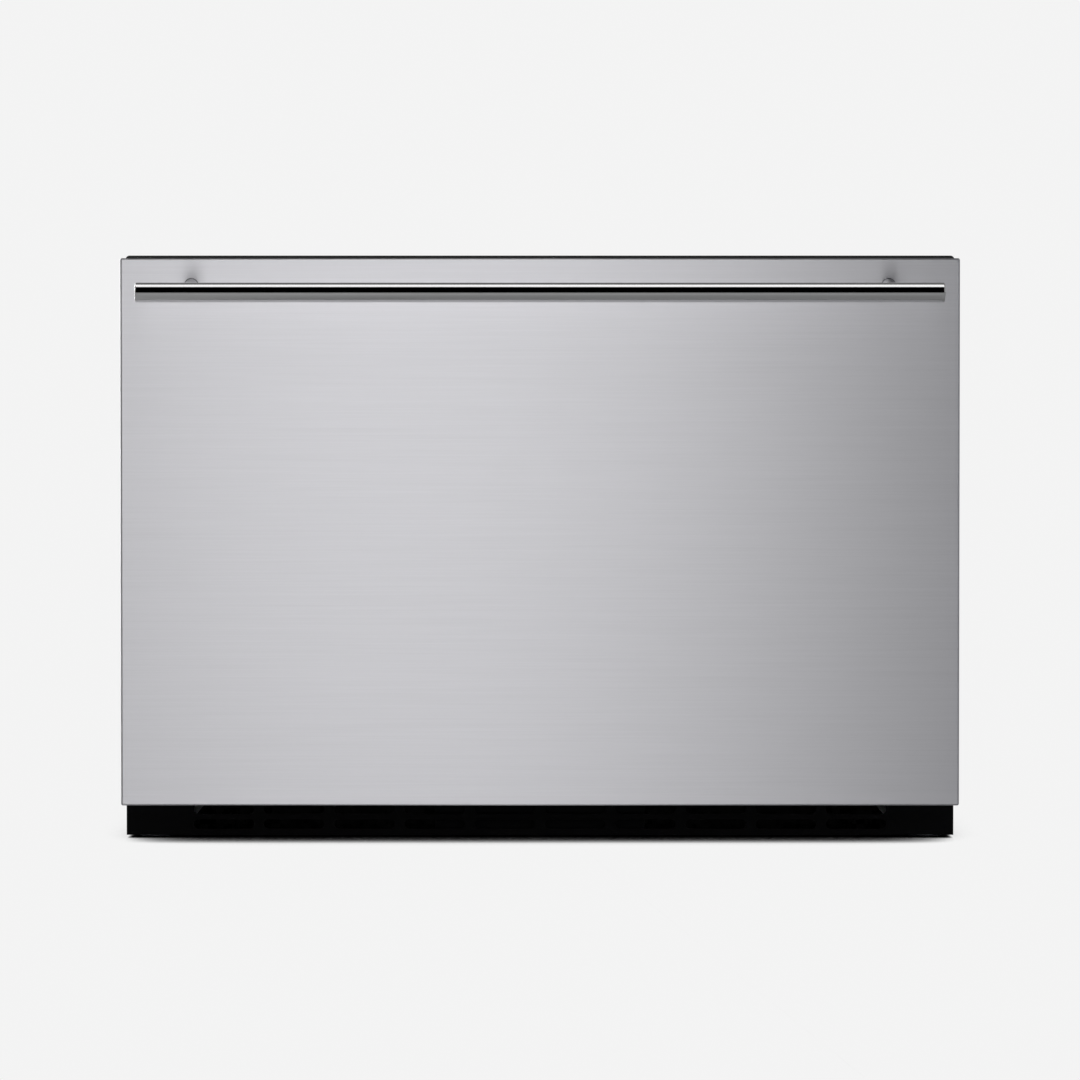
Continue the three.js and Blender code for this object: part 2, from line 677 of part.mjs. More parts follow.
function controlDisplay() {
  return block(WINDOW.x, [PANEL.front, PANEL.front + WINDOW.depth], WINDOW.z);
}

// A push button about its own centre line: its face looks along -Y.
function pushButton() {
  const bevel = 0.6;
  const skirt = rod([0, bevel, 0], [0, BUTTON_LENGTH, 0], BUTTON_RADIUS, 16);
  const crown = rod([0, 0, 0], [0, bevel + 0.1, 0], BUTTON_RADIUS - bevel, 16, BUTTON_RADIUS);
  return skirt.add(crown);
}

// ---------------------------------------------------------------- drawer slides
const SLIDE_SPAN = [SLIDE_FRONT, SLIDE_FRONT + SLIDE_LENGTH];
const CAGE_LENGTH = 150;
const CAGE_FRONT = SLIDE_FRONT + (SLIDE_LENGTH - CAGE_LENGTH) / 2;
const CAGE_SPAN = [CAGE_FRONT, CAGE_FRONT + CAGE_LENGTH];
const BALL_RADIUS = 2.25;
// Distances from the cabinet's middle plane, from the drawer outwards, and half heights.
const INNER_MEMBER = { near: 250.4, far: 256.2, web: [250.4, 251.6], halfHeight: 10.2, sheet: 1.2 };
const MIDDLE_MEMBER = { near: 253.2, far: 259.4, web: [258.2, 259.4], halfHeight: 16.2, sheet: 1.2 };
const OUTER_MEMBER = { near: 251.2, far: 263.7, web: [262.2, 263.7], halfHeight: 22.5, sheet: 1.5 };
const INNER_CAGE = { web: [257, 257.8], ballX: 255, ballOffset: 12.6 };
const OUTER_CAGE = { web: [260.2, 261], ballX: 256.3, ballOffset: 18.6 };

// A channel of one slide member: a web with a flange along its top and its bottom.
function slideChannel(side, { near, far, web, halfHeight, sheet }) {
  const z = (low, high) => [SLIDE_HEIGHT + low, SLIDE_HEIGHT + high];
  return union([
    block(across(side, ...web), SLIDE_SPAN, z(-halfHeight, halfHeight)),
    block(across(side, near, far), SLIDE_SPAN, z(halfHeight - sheet, halfHeight)),
    block(across(side, near, far), SLIDE_SPAN, z(-halfHeight, -halfHeight + sheet)),
  ]);
}

// The member on the cabinet wall also has a lip turned in along each flange.
function slideOuter(side) {
  const { near, halfHeight, sheet } = OUTER_MEMBER;
  const [lipSheet, lipDepth] = [1.2, sheet + 1.4];
  const levels = [[-halfHeight, lipDepth - halfHeight], [halfHeight - lipDepth, halfHeight]];
  const lips = levels.map(([low, high]) => block(
    across(side, near, near + lipSheet), SLIDE_SPAN, [SLIDE_HEIGHT + low, SLIDE_HEIGHT + high]));
  return union([slideChannel(side, OUTER_MEMBER), ...lips]);
}

// A ball cage: a web, a strip along each ball row, and the balls held in the strips.
function ballCage(side, { web, ballX, ballOffset }) {
  const [stripHalf, stripOverlap, ballInset] = [0.4, 0.6, 15];
  const solids = [
    block(across(side, ...web), CAGE_SPAN, [SLIDE_HEIGHT - ballOffset, SLIDE_HEIGHT + ballOffset]),
  ];
  for (const level of [-ballOffset, ballOffset]) {
    const z = SLIDE_HEIGHT + level;
    solids.push(block(
      across(side, ballX - stripOverlap, web[1]), CAGE_SPAN, [z - stripHalf, z + stripHalf]));
    for (const y of [CAGE_SPAN[0] + ballInset, CAGE_SPAN[1] - ballInset]) {
      const ball = new THREE.OctahedronGeometry(BALL_RADIUS, 1);
      ball.translate(side * ballX, y, z);
      solids.push(toSolid(ball));
    }
  }
  return union(solids);
}

// The whole drawer front as a block whose front edges are rounded.
function roundedFront() {
  const edge = 2;
  const corner = 0.5;
  const outline = roundedRectangle(
    [-HALF + edge, HALF - edge], [FRONT_BOTTOM + edge, FRONT_TOP - edge], corner);
  const geometry = new THREE.ExtrudeGeometry(outline, {
    depth: FRONT_THICKNESS,
    bevelThickness: edge,
    bevelSize: edge,
    bevelSegments: 3,
    curveSegments: 2,
  });
  geometry.rotateX(Math.PI / 2);
  geometry.translate(0, FACE + edge + FRONT_THICKNESS, 0);
  return toSolid(geometry);
}

function drawerFrontSkin() {
  const pan = roundedFront().intersect(block(
    [-HALF - TRIM, HALF + TRIM], [FACE - TRIM, FRONT_BACK], [FRONT_BOTTOM - TRIM, FRONT_TOP + TRIM]));
  const hollow = block(
    [-HALF + SHEET, HALF - SHEET],
    [FACE + SHEET, FRONT_BACK + TRIM],
    [FRONT_BOTTOM + SHEET, FRONT_TOP - SHEET]);
  return pan.subtract(hollow);
}

function drawerFrontFoam() {
  const inset = SHEET + 0.4;
  return block(
    [-HALF + inset, HALF - inset],
    [FACE + SHEET + GAP, FRONT_BACK - LINER_WALL - GAP],
    [FRONT_BOTTOM + inset, FRONT_TOP - inset]);
}

// The inner door panel, whose raised field stands inside the gasket.
function drawerFrontLiner() {
  const inset = SHEET + GAP;
  const raised = { halfWidth: 215, bottom: 75, top: 380, height: 8, corner: 10 };
  const plate = block(
    [-HALF + inset, HALF - inset],
    [FRONT_BACK - LINER_WALL, FRONT_BACK],
    [FRONT_BOTTOM + inset, FRONT_TOP - inset]);
  const field = roundedRectangle(
    [-raised.halfWidth, raised.halfWidth], [raised.bottom, raised.top], raised.corner);
  return plate.add(extrude(field, 'y', FRONT_BACK - TRIM, FRONT_BACK + raised.height));
}

function drawerGasket() {
  const [back, front] = [FRONT_BACK + GAP, CABINET_FRONT - GAP];
  const [halfWidth, bottom, top, width] = [289, 43, 411, 14];
  const outside = roundedRectangle([-halfWidth, halfWidth], [bottom, top], 8);
  const inside = roundedRectangle(
    [-halfWidth + width, halfWidth - width], [bottom + width, top - width], 3);
  return extrude(outside, 'y', back, front).subtract(extrude(inside, 'y', back - TRIM, front + TRIM));
}

function handleBar() {
  const [end, radius, chamfer] = [BAR_LENGTH / 2, BAR_DIAMETER / 2, 1];
  const profile = [
    [0, -end], [radius - chamfer, -end], [radius, -end + chamfer],
    [radius, end - chamfer], [radius - chamfer, end], [0, end],
  ].map(([r, along]) => new THREE.Vector2(r, along));
  const bar = new THREE.LatheGeometry(profile, 32);
  bar.rotateZ(Math.PI / 2);
  bar.translate(0, BAR_Y, BAR_HEIGHT);
  return toSolid(bar);
}

// A round post that rises from the bar to the drawer front, cut to fit both.
function handlePost(side) {
  const x = (side * POST_SPACING) / 2;
  const slope = POST_RISE / HANDLE_STANDOFF;
  const overrun = 10;
  const reach = 40;
  const width = [x - reach, x + reach];
  const height = [BAR_HEIGHT - reach, BAR_HEIGHT + reach];
  const whole = rod(
    [x, BAR_Y, BAR_HEIGHT],
    [x, FACE + overrun, BAR_HEIGHT + (HANDLE_STANDOFF + overrun) * slope],
    POST_DIAMETER / 2, 20);
  const barSpace = rod(
    [width[0], BAR_Y, BAR_HEIGHT], [width[1], BAR_Y, BAR_HEIGHT], BAR_DIAMETER / 2 + GAP, 32);
  const frontSpace = block(width, [FACE - GAP, FACE + reach], height);
  const ahead = block(width, [BAR_Y - reach, BAR_Y], height);
  return cut(whole, [barSpace, frontSpace, ahead]);
}

function drawerBin() {
  const half = BIN_HALF_WIDTH;
  const outside = block([-half, half], [BIN_FRONT, BIN_REAR], [BIN_FLOOR, BIN_RIM]);
  const inside = block(
    [-half + SHEET, half - SHEET],
    [BIN_FRONT + SHEET, BIN_REAR - SHEET],
    [BIN_FLOOR + SHEET, BIN_RIM + TRIM]);
  return outside.subtract(inside);
}

// The plate that joins a slide to the drawer front, with a lip under the bin.
function drawerBracket(side) {
  const [front, rear] = [FRONT_BACK + GAP, 95];
  const [near, far, sheet] = [BIN_HALF_WIDTH + 0.6, 249.9, 2];
  const web = block(across(side, near, far), [front, rear], [BIN_FLOOR - 0.4, BIN_RIM - 2.4]);
  const flange = block(across(side, 225, far), [front, front + sheet], [90, 290]);
  const lip = block(across(side, 236, far), [front, rear], [BIN_FLOOR - 2.4, BIN_FLOOR - GAP]);
  return union([web, flange, lip]);
}

// A leg about its own centre line: a disc on the floor under a threaded stud.
function levellingLeg() {
  const [discRadius, discHeight, collarRadius, collarTop, studTop] = [13, 6, 9, 8, 31];
  const profile = [
    [0, 0], [discRadius - 1, 0], [discRadius, 1], [discRadius, discHeight],
    [collarRadius, collarTop], [STUD_RADIUS, collarTop], [STUD_RADIUS, studTop], [0, studTop],
  ].map(([r, z]) => new THREE.Vector2(r, z));
  const leg = new THREE.LatheGeometry(profile, 14);
  leg.rotateX(Math.PI / 2);
  return toSolid(leg);
}

// ---------------------------------------------------------------- assembly
const SIDES = { left: -1, right: 1 };
const refrigerator = new THREE.Group();

const cabinet = new THREE.Group();
cabinet.add(
  part('outer_shell', outerShell(), BLACK_PAINT),
  part('underside_panel', undersidePanel(), GALVANISED),
  part('back_panel', backPanel(), GALVANISED),
  part('foam_insulation', foamInsulation(), FOAM),
  part('inner_liner', innerLiner(), LINER),
  part('front_frame', frontFrame(), BLACK_PAINT),
  part('kick_grille', kickGrille(), BLACK_PAINT),
  part('air_divider', airDivider(), GALVANISED),
  part('machine_plate', machinePlate(), GALVANISED),
  part('rear_cover', rearCover(), GALVANISED),
  part('compressor', compressor(), BLACK_PAINT),
  part('compressor_relay_cover', relayCover(), BLACK_PLASTIC),
  part('condenser_coil', condenserCoil(), ALUMINIUM),
  part('condenser_fan_shroud', fanShroud(), BLACK_PLASTIC),
  part('condenser_fan_motor', fanMotor(), GALVANISED),
  part('filter_drier', filterDrier(), COPPER),
  part('discharge_pipe', pipe(DISCHARGE_ROUTE, DISCHARGE_RADIUS, 22), COPPER),
  part('capillary_tube', pipe(CAPILLARY_ROUTE, CAPILLARY_RADIUS, 26, 6), COPPER),
  part('suction_pipe', pipe(SUCTION_ROUTE, SUCTION_RADIUS, 28), COPPER),
  part('drain_pan', drainPan(), BLACK_PLASTIC),
  part('drain_hose', drainHose(), GREY_RUBBER),
  part('power_inlet', powerInlet(), BLACK_PLASTIC),
  part('evaporator_coil', evaporatorCoil(), ALUMINIUM),
  part('evaporator_cover', evaporatorCover(), LINER),
  part('evaporator_fan_frame', evaporatorFanFrame(), BLACK_PLASTIC),
  part('lamp_housing', lampHousing(), LINER),
  part('lamp_lens', lampLens(), CLEAR_PLASTIC),
  part('control_panel', controlPanel(), BLACK_PLASTIC),
  part('control_display', controlDisplay(), DISPLAY),
);
for (const [name, side] of Object.entries(SIDES)) {
  cabinet.add(
    part(`base_rail_${name}`, baseRail(side), GALVANISED),
    part(`slide_outer_${name}`, slideOuter(side), ZINC),
  );
}
refrigerator.add(cabinet);

for (const [name, side] of Object.entries(SIDES)) {
  for (const [row, y] of Object.entries(LEG_ROWS)) {
    const leg = part(`leg_${row}_${name}`, levellingLeg(), ZINC);
    leg.position.set(side * LEG_X, y, 0);
    refrigerator.add(leg);
  }
  refrigerator.add(
    part(`slide_middle_${name}`, slideChannel(side, MIDDLE_MEMBER), ZINC),
    part(`ball_cage_outer_${name}`, ballCage(side, OUTER_CAGE), ZINC),
    part(`ball_cage_inner_${name}`, ballCage(side, INNER_CAGE), ZINC),
  );
}

for (const [name, x] of Object.entries(BUTTONS)) {
  const button = part(name, pushButton(), BLACK_PLASTIC);
  button.position.set(x, PANEL.front - BUTTON_PROUD, BUTTON_HEIGHT);
  refrigerator.add(button);
}

const condenserRotor = part('condenser_fan_rotor', fanRotor({
  hubRadius: 18, tipRadius: 52, halfHub: 8, blades: 5, chord: 30,
  pitch: THREE.MathUtils.degToRad(28), shaft: 2.6, shaftLength: 4.5,
}), BLACK_PLASTIC);
condenserRotor.position.set(109, FAN_CENTRE.y, FAN_CENTRE.z);
condenserRotor.rotation.y = Math.PI / 2;
refrigerator.add(condenserRotor);

const evaporatorRotor = part('evaporator_fan_rotor', fanRotor({
  hubRadius: 17, tipRadius: 41, halfHub: 8.5, blades: 7, chord: 18,
  pitch: THREE.MathUtils.degToRad(35), shaft: 3, shaftLength: 1.2,
}), BLACK_PLASTIC);
evaporatorRotor.position.set(0, CAVITY_REAR + 12, EVAPORATOR_FAN_HEIGHT);
evaporatorRotor.rotation.x = Math.PI / 2;
refrigerator.add(evaporatorRotor);

const drawer = new THREE.Group();
drawer.add(
  part('drawer_front_skin', drawerFrontSkin(), BRUSHED),
  part('drawer_front_foam', drawerFrontFoam(), FOAM),
  part('drawer_front_liner', drawerFrontLiner(), LINER),
  part('drawer_gasket', drawerGasket(), GREY_RUBBER),
  part('handle_bar', handleBar(), POLISHED),
  part('drawer_bin', drawerBin(), BRUSHED),
);
for (const [name, side] of Object.entries(SIDES)) {
  drawer.add(
    part(`handle_post_${name}`, handlePost(side), POLISHED),
    part(`drawer_bracket_${name}`, drawerBracket(side), ZINC),
    part(`slide_inner_${name}`, slideChannel(side, INNER_MEMBER), ZINC),
  );
}
refrigerator.add(drawer);

export default refrigerator;
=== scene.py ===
"""Looks of an under-counter drawer refrigerator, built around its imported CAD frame.

The axes are the CAD part's: +X to the right of a person facing the drawer, the drawer faces -Y,
+Z is up and the floor is z = 0. Pieces are drawn in millimetres, and finish_mesh turns them into
metres. Materials, the camera and the lights are in metres.
"""
import math

import bmesh
import bpy
from mathutils import Matrix, Vector


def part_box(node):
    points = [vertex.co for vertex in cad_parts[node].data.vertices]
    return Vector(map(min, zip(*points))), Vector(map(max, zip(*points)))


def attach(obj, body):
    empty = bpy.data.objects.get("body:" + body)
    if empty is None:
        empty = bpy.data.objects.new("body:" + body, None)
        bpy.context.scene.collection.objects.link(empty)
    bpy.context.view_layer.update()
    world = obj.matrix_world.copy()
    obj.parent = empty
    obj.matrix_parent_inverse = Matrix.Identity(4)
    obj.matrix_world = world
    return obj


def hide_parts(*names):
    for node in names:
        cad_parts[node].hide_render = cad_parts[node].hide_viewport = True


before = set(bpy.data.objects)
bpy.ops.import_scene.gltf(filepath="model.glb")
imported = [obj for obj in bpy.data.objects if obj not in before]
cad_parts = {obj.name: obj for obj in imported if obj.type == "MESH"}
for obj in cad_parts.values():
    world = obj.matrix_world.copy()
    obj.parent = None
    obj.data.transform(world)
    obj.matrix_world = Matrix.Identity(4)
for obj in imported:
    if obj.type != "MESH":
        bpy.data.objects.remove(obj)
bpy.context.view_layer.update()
MM = 0.001
WELD = 0.001  # vertices closer than this many millimetres become one


# ---- places taken from the frame
class Box:
    """The lowest and highest corner of a CAD node at rest, in millimetres."""

    def __init__(self, node):
        low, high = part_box(node)
        self.low = Vector(low) / MM
        self.high = Vector(high) / MM
        self.mid = (self.low + self.high) / 2
        self.size = self.high - self.low

    def across(self, axis, inset=0.0):
        """The box seen along an axis, as its lowest and highest place each way."""
        u, v = (i for i in range(3) if "XYZ"[i] != axis)
        return self.low[u] + inset, self.high[u] - inset, self.low[v] + inset, self.high[v] - inset


skin = Box("drawer_front_skin")
bar = Box("handle_bar")
SIDES = (("left", -1), ("right", 1))
SHEET = 1.0  # thickness of the drawn and folded steel


# ---- camera
def make_camera():
    distance = 3.5
    view_side = 0.0004
    view_height = 0.300
    aim_height = 0.2172
    field_width = 0.772  # metres across the picture at the drawer's face
    face = skin.low.y * MM
    data = bpy.data.cameras.new("camera")
    data.sensor_width = 36.0
    data.lens = data.sensor_width * distance / field_width
    data.clip_end = 100.0
    camera = bpy.data.objects.new("camera", data)
    camera.location = (view_side, face - distance, view_height)
    aim = Vector((0.0, face, aim_height))
    camera.rotation_euler = (aim - camera.location).to_track_quat("-Z", "Y").to_euler()
    bpy.context.collection.objects.link(camera)
    bpy.context.scene.camera = camera


# ---- shader nodes
def new_material(name):
    material = bpy.data.materials.new(name)
    material.use_nodes = True
    tree = material.node_tree
    return material, tree, tree.nodes["Principled BSDF"]


def plug(tree, value, socket):
    """Links a source to a socket, or sets the socket to a value."""
    if isinstance(value, bpy.types.NodeSocket):
        tree.links.new(value, socket)
    else:
        socket.default_value = value


def add_node(tree, kind, settings=None, **inputs):
    node = tree.nodes.new("ShaderNode" + kind)
    for key, value in (settings or {}).items():
        setattr(node, key, value)
    for key, value in inputs.items():
        plug(tree, value, node.inputs[key.replace("_", " ")])
    return node


def arithmetic(tree, operation, *values):
    node = add_node(tree, "Math", {"operation": operation})
    for value, socket in zip(values, node.inputs):
        plug(tree, value, socket)
    return node.outputs[0]


def object_coordinates(tree, scale):
    """The piece's own coordinates, scaled by one number or by one for each axis."""
    scales = scale if isinstance(scale, tuple) else (scale, scale, scale)
    coordinates = add_node(tree, "TexCoord")
    return add_node(tree, "Mapping", Vector=coordinates.outputs["Object"], Scale=scales).outputs["Vector"]


def noise(tree, scale, detail, roughness=0.5):
    node = add_node(tree, "TexNoise", Vector=object_coordinates(tree, scale), Scale=1.0, Detail=detail,
                    Roughness=roughness)
    return node.outputs["Fac"]


def remap(tree, value, low, high, from_low=0.0, from_high=1.0):
    node = add_node(tree, "MapRange", Value=value, From_Min=from_low, From_Max=from_high, To_Min=low,
                    To_Max=high)
    return node.outputs["Result"]


def ramp(tree, value, stops):
    node = add_node(tree, "ValToRGB", Fac=value)
    for element, (place, colour) in zip(node.color_ramp.elements, stops):
        element.position = place
        element.color = (*colour, 1.0)
    return node.outputs["Color"]


def bump(tree, shader, height, strength, distance):
    node = add_node(tree, "Bump", Strength=strength, Distance=distance, Height=height)
    tree.links.new(node.outputs["Normal"], shader.inputs["Normal"])


def blend_colour(tree, share, paint, colour):
    node = add_node(tree, "Mix", {"data_type": "RGBA"})
    for value, index in ((share, 0), (paint, 6), ((*colour, 1.0), 7)):
        plug(tree, value, node.inputs[index])
    return node.outputs[2]


def edge_mask(tree, radius):
    """1 along scuffed edges and 0 on the flats."""
    rounded = add_node(tree, "Bevel", {"samples": 4}, Radius=radius)
    flat = add_node(tree, "NewGeometry")
    agree = add_node(tree, "VectorMath", {"operation": "DOT_PRODUCT"})
    tree.links.new(rounded.outputs["Normal"], agree.inputs[0])
    tree.links.new(flat.outputs["Normal"], agree.inputs[1])
    sharp = remap(tree, agree.outputs["Value"], 1.0, 0.0, 0.80, 0.99)
    scuffs = remap(tree, noise(tree, 70, 4.0), 0.0, 1.0, 0.42, 0.62)
    return arithmetic(tree, "MULTIPLY", sharp, scuffs)


# ---- materials
def brushed_steel(name, base=0.62, roughness=0.42, anisotropy=0.85, grain=(9, 9, 900)):
    """Steel with a straight grain: fine lines in colour, roughness and bump, and a stretched highlight."""
    cool_tint = (0.965, 0.96, 1.0)
    material, tree, shader = new_material(name)
    lines = noise(tree, grain, 5.0, 0.65)
    broad = noise(tree, (1.2, 1.2, 5.0), 2.0)
    dark, light = (tuple(base * share * tint for tint in cool_tint) for share in (0.96, 1.03))
    tree.links.new(ramp(tree, lines, [(0.25, dark), (0.75, light)]), shader.inputs["Base Color"])
    fine = remap(tree, lines, -0.02, 0.02)
    patches = remap(tree, broad, roughness - 0.02, roughness + 0.02)
    tree.links.new(arithmetic(tree, "ADD", fine, patches), shader.inputs["Roughness"])
    shader.inputs["Metallic"].default_value = 1.0
    shader.inputs["Anisotropic"].default_value = anisotropy
    shader.inputs["Anisotropic Rotation"].default_value = 0.25
    tangent = add_node(tree, "Tangent", {"direction_type": "RADIAL", "axis": "Z"})
    tree.links.new(tangent.outputs["Tangent"], shader.inputs["Tangent"])
    bump(tree, shader, lines, 0.10, 0.00002)
    return material


def surface(name, colour, roughness, metallic=0.0, worn=None, cloud=7, mottle=0.15, spread=0.06,
            grain=900, relief=0.06, depth=0.0001, cells=None, **sockets):
    """A finish with broad variation, fine grain in its bump and, if worn is a colour, scuffed edges."""
    edge = 0.0008
    material, tree, shader = new_material(name)
    if cells:
        spangle = add_node(tree, "TexVoronoi", Vector=object_coordinates(tree, cells), Scale=1.0)
        tone = add_node(tree, "SeparateXYZ", Vector=spangle.outputs["Color"]).outputs["X"]
    else:
        tone = noise(tree, cloud, 3.0)
    dark, light = (tuple(c * share for c in colour) for share in (1 - mottle, 1 + mottle))
    paint = ramp(tree, tone, [(0.3, dark), (0.7, light)])
    rough = remap(tree, tone, roughness - spread, roughness + spread)
    if worn:
        scuffed = edge_mask(tree, edge)
        paint = blend_colour(tree, scuffed, paint, worn)
        rough = arithmetic(tree, "MULTIPLY_ADD", scuffed, -0.3 * roughness, rough)
    tree.links.new(paint, shader.inputs["Base Color"])
    tree.links.new(rough, shader.inputs["Roughness"])
    shader.inputs["Metallic"].default_value = metallic
    for socket, value in sockets.items():
        shader.inputs[socket.replace("_", " ")].default_value = value
    bump(tree, shader, noise(tree, grain, 3.0, 0.6), relief, depth)
    return material


BRUSHED_FRONT = brushed_steel("brushed_front")
BRUSHED_BIN = brushed_steel("brushed_bin", 0.55, 0.34, 0.5, (7, 7, 700))
POLISHED = surface("polished_steel", (0.72, 0.72, 0.72), 0.07, 1.0, cloud=(12, 160, 160), mottle=0.015,
                   spread=0.02, grain=(20, 400, 400), relief=0.03, depth=0.00002)
# A darker copy of the polished steel for the handle posts: painted shade, standing in for the dark
# surroundings that the posts reflect.
POST_STEEL_PAINTED_DARK = surface("post_steel_painted_shade", (0.17, 0.17, 0.18), 0.13, 1.0, cloud=(160, 160, 12), mottle=0.03,
                 spread=0.02, grain=400, relief=0.03, depth=0.00002)
BLACK_ENAMEL = surface("black_enamel", (0.014, 0.014, 0.015), 0.36, worn=(0.055, 0.055, 0.057), mottle=0.10,
                       spread=0.02, grain=500, relief=0.12, Specular_IOR_Level=0.35)
BLACK_GRILLE = surface("black_grille", (0.005, 0.005, 0.0055), 0.42, worn=(0.010, 0.010, 0.011),
                       Specular_IOR_Level=0.06)
GALVANISED = surface("galvanised", (0.46, 0.48, 0.49), 0.42, 0.9, worn=(0.62, 0.63, 0.64), mottle=0.07,
                     cells=150, spread=0.05, grain=260, relief=0.05)
ZINC = surface("zinc_plate", (0.60, 0.61, 0.63), 0.27, 1.0, worn=(0.74, 0.74, 0.75), cloud=25,
               mottle=0.07, grain=(60, 500, 500), relief=0.04)
LINER = surface("liner_plastic", (0.80, 0.81, 0.80), 0.36, worn=(0.68, 0.69, 0.68), mottle=0.02,
                grain=420, relief=0.10, Specular_IOR_Level=0.45, Subsurface_Weight=0.05)
FOAM = surface("cut_foam", (0.74, 0.60, 0.30), 0.95, cells=320, mottle=0.16,
               grain=500, relief=0.5, depth=0.0006)
RUBBER = surface("gasket_rubber", (0.085, 0.086, 0.09), 0.72, worn=(0.16, 0.16, 0.17), cloud=30,
                 grain=700, relief=0.12, Sheen_Weight=0.15)
BLACK_PLASTIC = surface("black_plastic", (0.016, 0.016, 0.018), 0.46, worn=(0.05, 0.05, 0.053),
                        grain=1400, relief=0.18)
CLEAR = surface("clear_lens", (0.86, 0.90, 0.92), 0.18, mottle=0.02, grain=300, relief=0.08,
                Transmission_Weight=0.85, IOR=1.49)
GLASS = surface("display_glass", (0.006, 0.008, 0.011), 0.09, mottle=0.1, spread=0.03, relief=0.01,
                Coat_Weight=0.6, Coat_Roughness=0.04)
COPPER = surface("copper", (0.66, 0.33, 0.19), 0.30, 1.0, worn=(0.80, 0.47, 0.32), cloud=(40, 40, 18),
                 mottle=0.25, spread=0.1, grain=300, relief=0.08)
BRAZE = surface("braze", (0.50, 0.44, 0.32), 0.45, 1.0, cloud=200, mottle=0.3, relief=0.4)
ALUMINIUM = surface("aluminium", (0.70, 0.71, 0.72), 0.33, 1.0, cloud=30, mottle=0.08,
                    grain=(800, 800, 60), relief=0.10)
BOARD = surface("lamp_board", (0.75, 0.76, 0.72), 0.5, mottle=0.05, relief=0.1)
LIT = surface("lit_segments", (0.30, 0.65, 0.80), 0.4, mottle=0.05, Emission_Strength=1.5,
              Emission_Color=(0.35, 0.75, 0.95, 1.0))

# The CAD slot name of each material, passed to settle for a new piece.
SLOTS = {
    BRUSHED_BIN: "brushed_steel", POLISHED: "polished_steel", POST_STEEL_PAINTED_DARK: "polished_steel",
    BLACK_ENAMEL: "black_enamel", BLACK_GRILLE: "black_enamel", GALVANISED: "galvanised_steel",
    ZINC: "zinc_plated_steel", LINER: "liner_plastic", BOARD: "liner_plastic", RUBBER: "gasket_rubber",
    BLACK_PLASTIC: "black_plastic", CLEAR: "clear_plastic", COPPER: "copper_tube", BRAZE: "copper_tube",
    ALUMINIUM: "aluminium_fin", LIT: "display_glass",
}


# ---- finishing
def finish_mesh(name, bm, material, sharp_angle):
    """A named object in metres from a bmesh in millimetres, smooth up to an angle in degrees."""
    bmesh.ops.remove_doubles(bm, verts=bm.verts, dist=WELD)
    bmesh.ops.scale(bm, vec=(MM, MM, MM), verts=bm.verts)
    bmesh.ops.recalc_face_normals(bm, faces=bm.faces)
    limit = math.radians(sharp_angle)
    for face in bm.faces:
        face.smooth = True
    for edge in bm.edges:
        edge.smooth = len(edge.link_faces) == 2 and edge.calc_face_angle(0.0) < limit
    mesh = bpy.data.meshes.new(name)
    bm.to_mesh(mesh)
    bm.free()
    mesh.materials.append(material)
    piece = bpy.data.objects.new(name, mesh)
    bpy.context.collection.objects.link(piece)
    normals = piece.modifiers.new("flat_faces_stay_flat", "WEIGHTED_NORMAL")
    normals.keep_sharp = True
    return piece


def settle(piece, body, slot, *replaced):
    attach(piece, body)
    if replaced:
        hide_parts(*replaced)
    return piece


def put(name, bm, material, sharp_angle, *replaced, body="cabinet"):
    """Finishes a bmesh and settles it on a body, in place of CAD nodes."""
    return settle(finish_mesh(name, bm, material, sharp_angle), body, SLOTS[material], *replaced)


def thicken(piece, thickness):
    """Gives an open skin its sheet thickness, on the inside."""
    sheet = piece.modifiers.new("sheet", "SOLIDIFY")
    sheet.thickness = thickness * MM
    sheet.offset = -1


def dress(material, bevel, *names):
    """Gives CAD nodes that stay a material, and rounds their edges."""
    for name in names:
        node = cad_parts[name]
        for place in node.material_slots:
            place.material = material
        if bevel:
            weld = node.modifiers.new("weld", "WELD")
            weld.merge_threshold = 1e-5
            rounded = node.modifiers.new("edges", "BEVEL")
            rounded.width = bevel * MM
            rounded.segments = 2
            rounded.limit_method = "ANGLE"
            rounded.angle_limit = math.radians(35)


# ---- outlines
def arc(centre_u, centre_v, radius, start, end, steps=6):
    """Points of an arc, angles in degrees, both ends included."""
    angles = [math.radians(start + (end - start) * i / steps) for i in range(steps + 1)]
    return [(centre_u + radius * math.cos(a), centre_v + radius * math.sin(a)) for a in angles]


def circle(u, v, radius, steps):
    return arc(u, v, radius, 0, 360 - 360 / steps, steps - 1)


def rectangle(u0, u1, v0, v1):
    return [(u0, v0), (u1, v0), (u1, v1), (u0, v1)]


def rounded_rectangle(u0, u1, v0, v1, radius, steps=6):
    return (arc(u1 - radius, v0 + radius, radius, -90, 0, steps)
            + arc(u1 - radius, v1 - radius, radius, 0, 90, steps)
            + arc(u0 + radius, v1 - radius, radius, 90, 180, steps)
            + arc(u0 + radius, v0 + radius, radius, 180, 270, steps))


def lay(outline, axis, level):
    """An outline in (y, z), (x, z) or (x, y) as points across X, Y or Z at a level."""
    if axis == "X":
        return [(level, u, v) for u, v in outline]
    if axis == "Y":
        return [(u, level, v) for u, v in outline]
    return [(u, v, level) for u, v in outline]


# ---- solids added to a bmesh
def add_box(bm, low, high, bevel=0.0, segments=2, edges=None):
    """Adds a box, with its edges rounded; edges(edge) picks which ones."""
    low, high = Vector(low), Vector(high)
    made = bmesh.ops.create_cube(bm, size=1.0)["verts"]
    bmesh.ops.scale(bm, vec=high - low, verts=made)
    bmesh.ops.translate(bm, vec=(low + high) / 2, verts=made)
    if bevel > 0:
        chosen = {e for v in made for e in v.link_edges if edges is None or edges(e)}
        bmesh.ops.bevel(
            bm, geom=list(chosen), offset=bevel, segments=segments, affect="EDGES", profile=0.5)


def facing(direction):
    """The turn that takes +Z to a direction."""
    return Vector(direction).to_track_quat("Z", "Y").to_matrix()


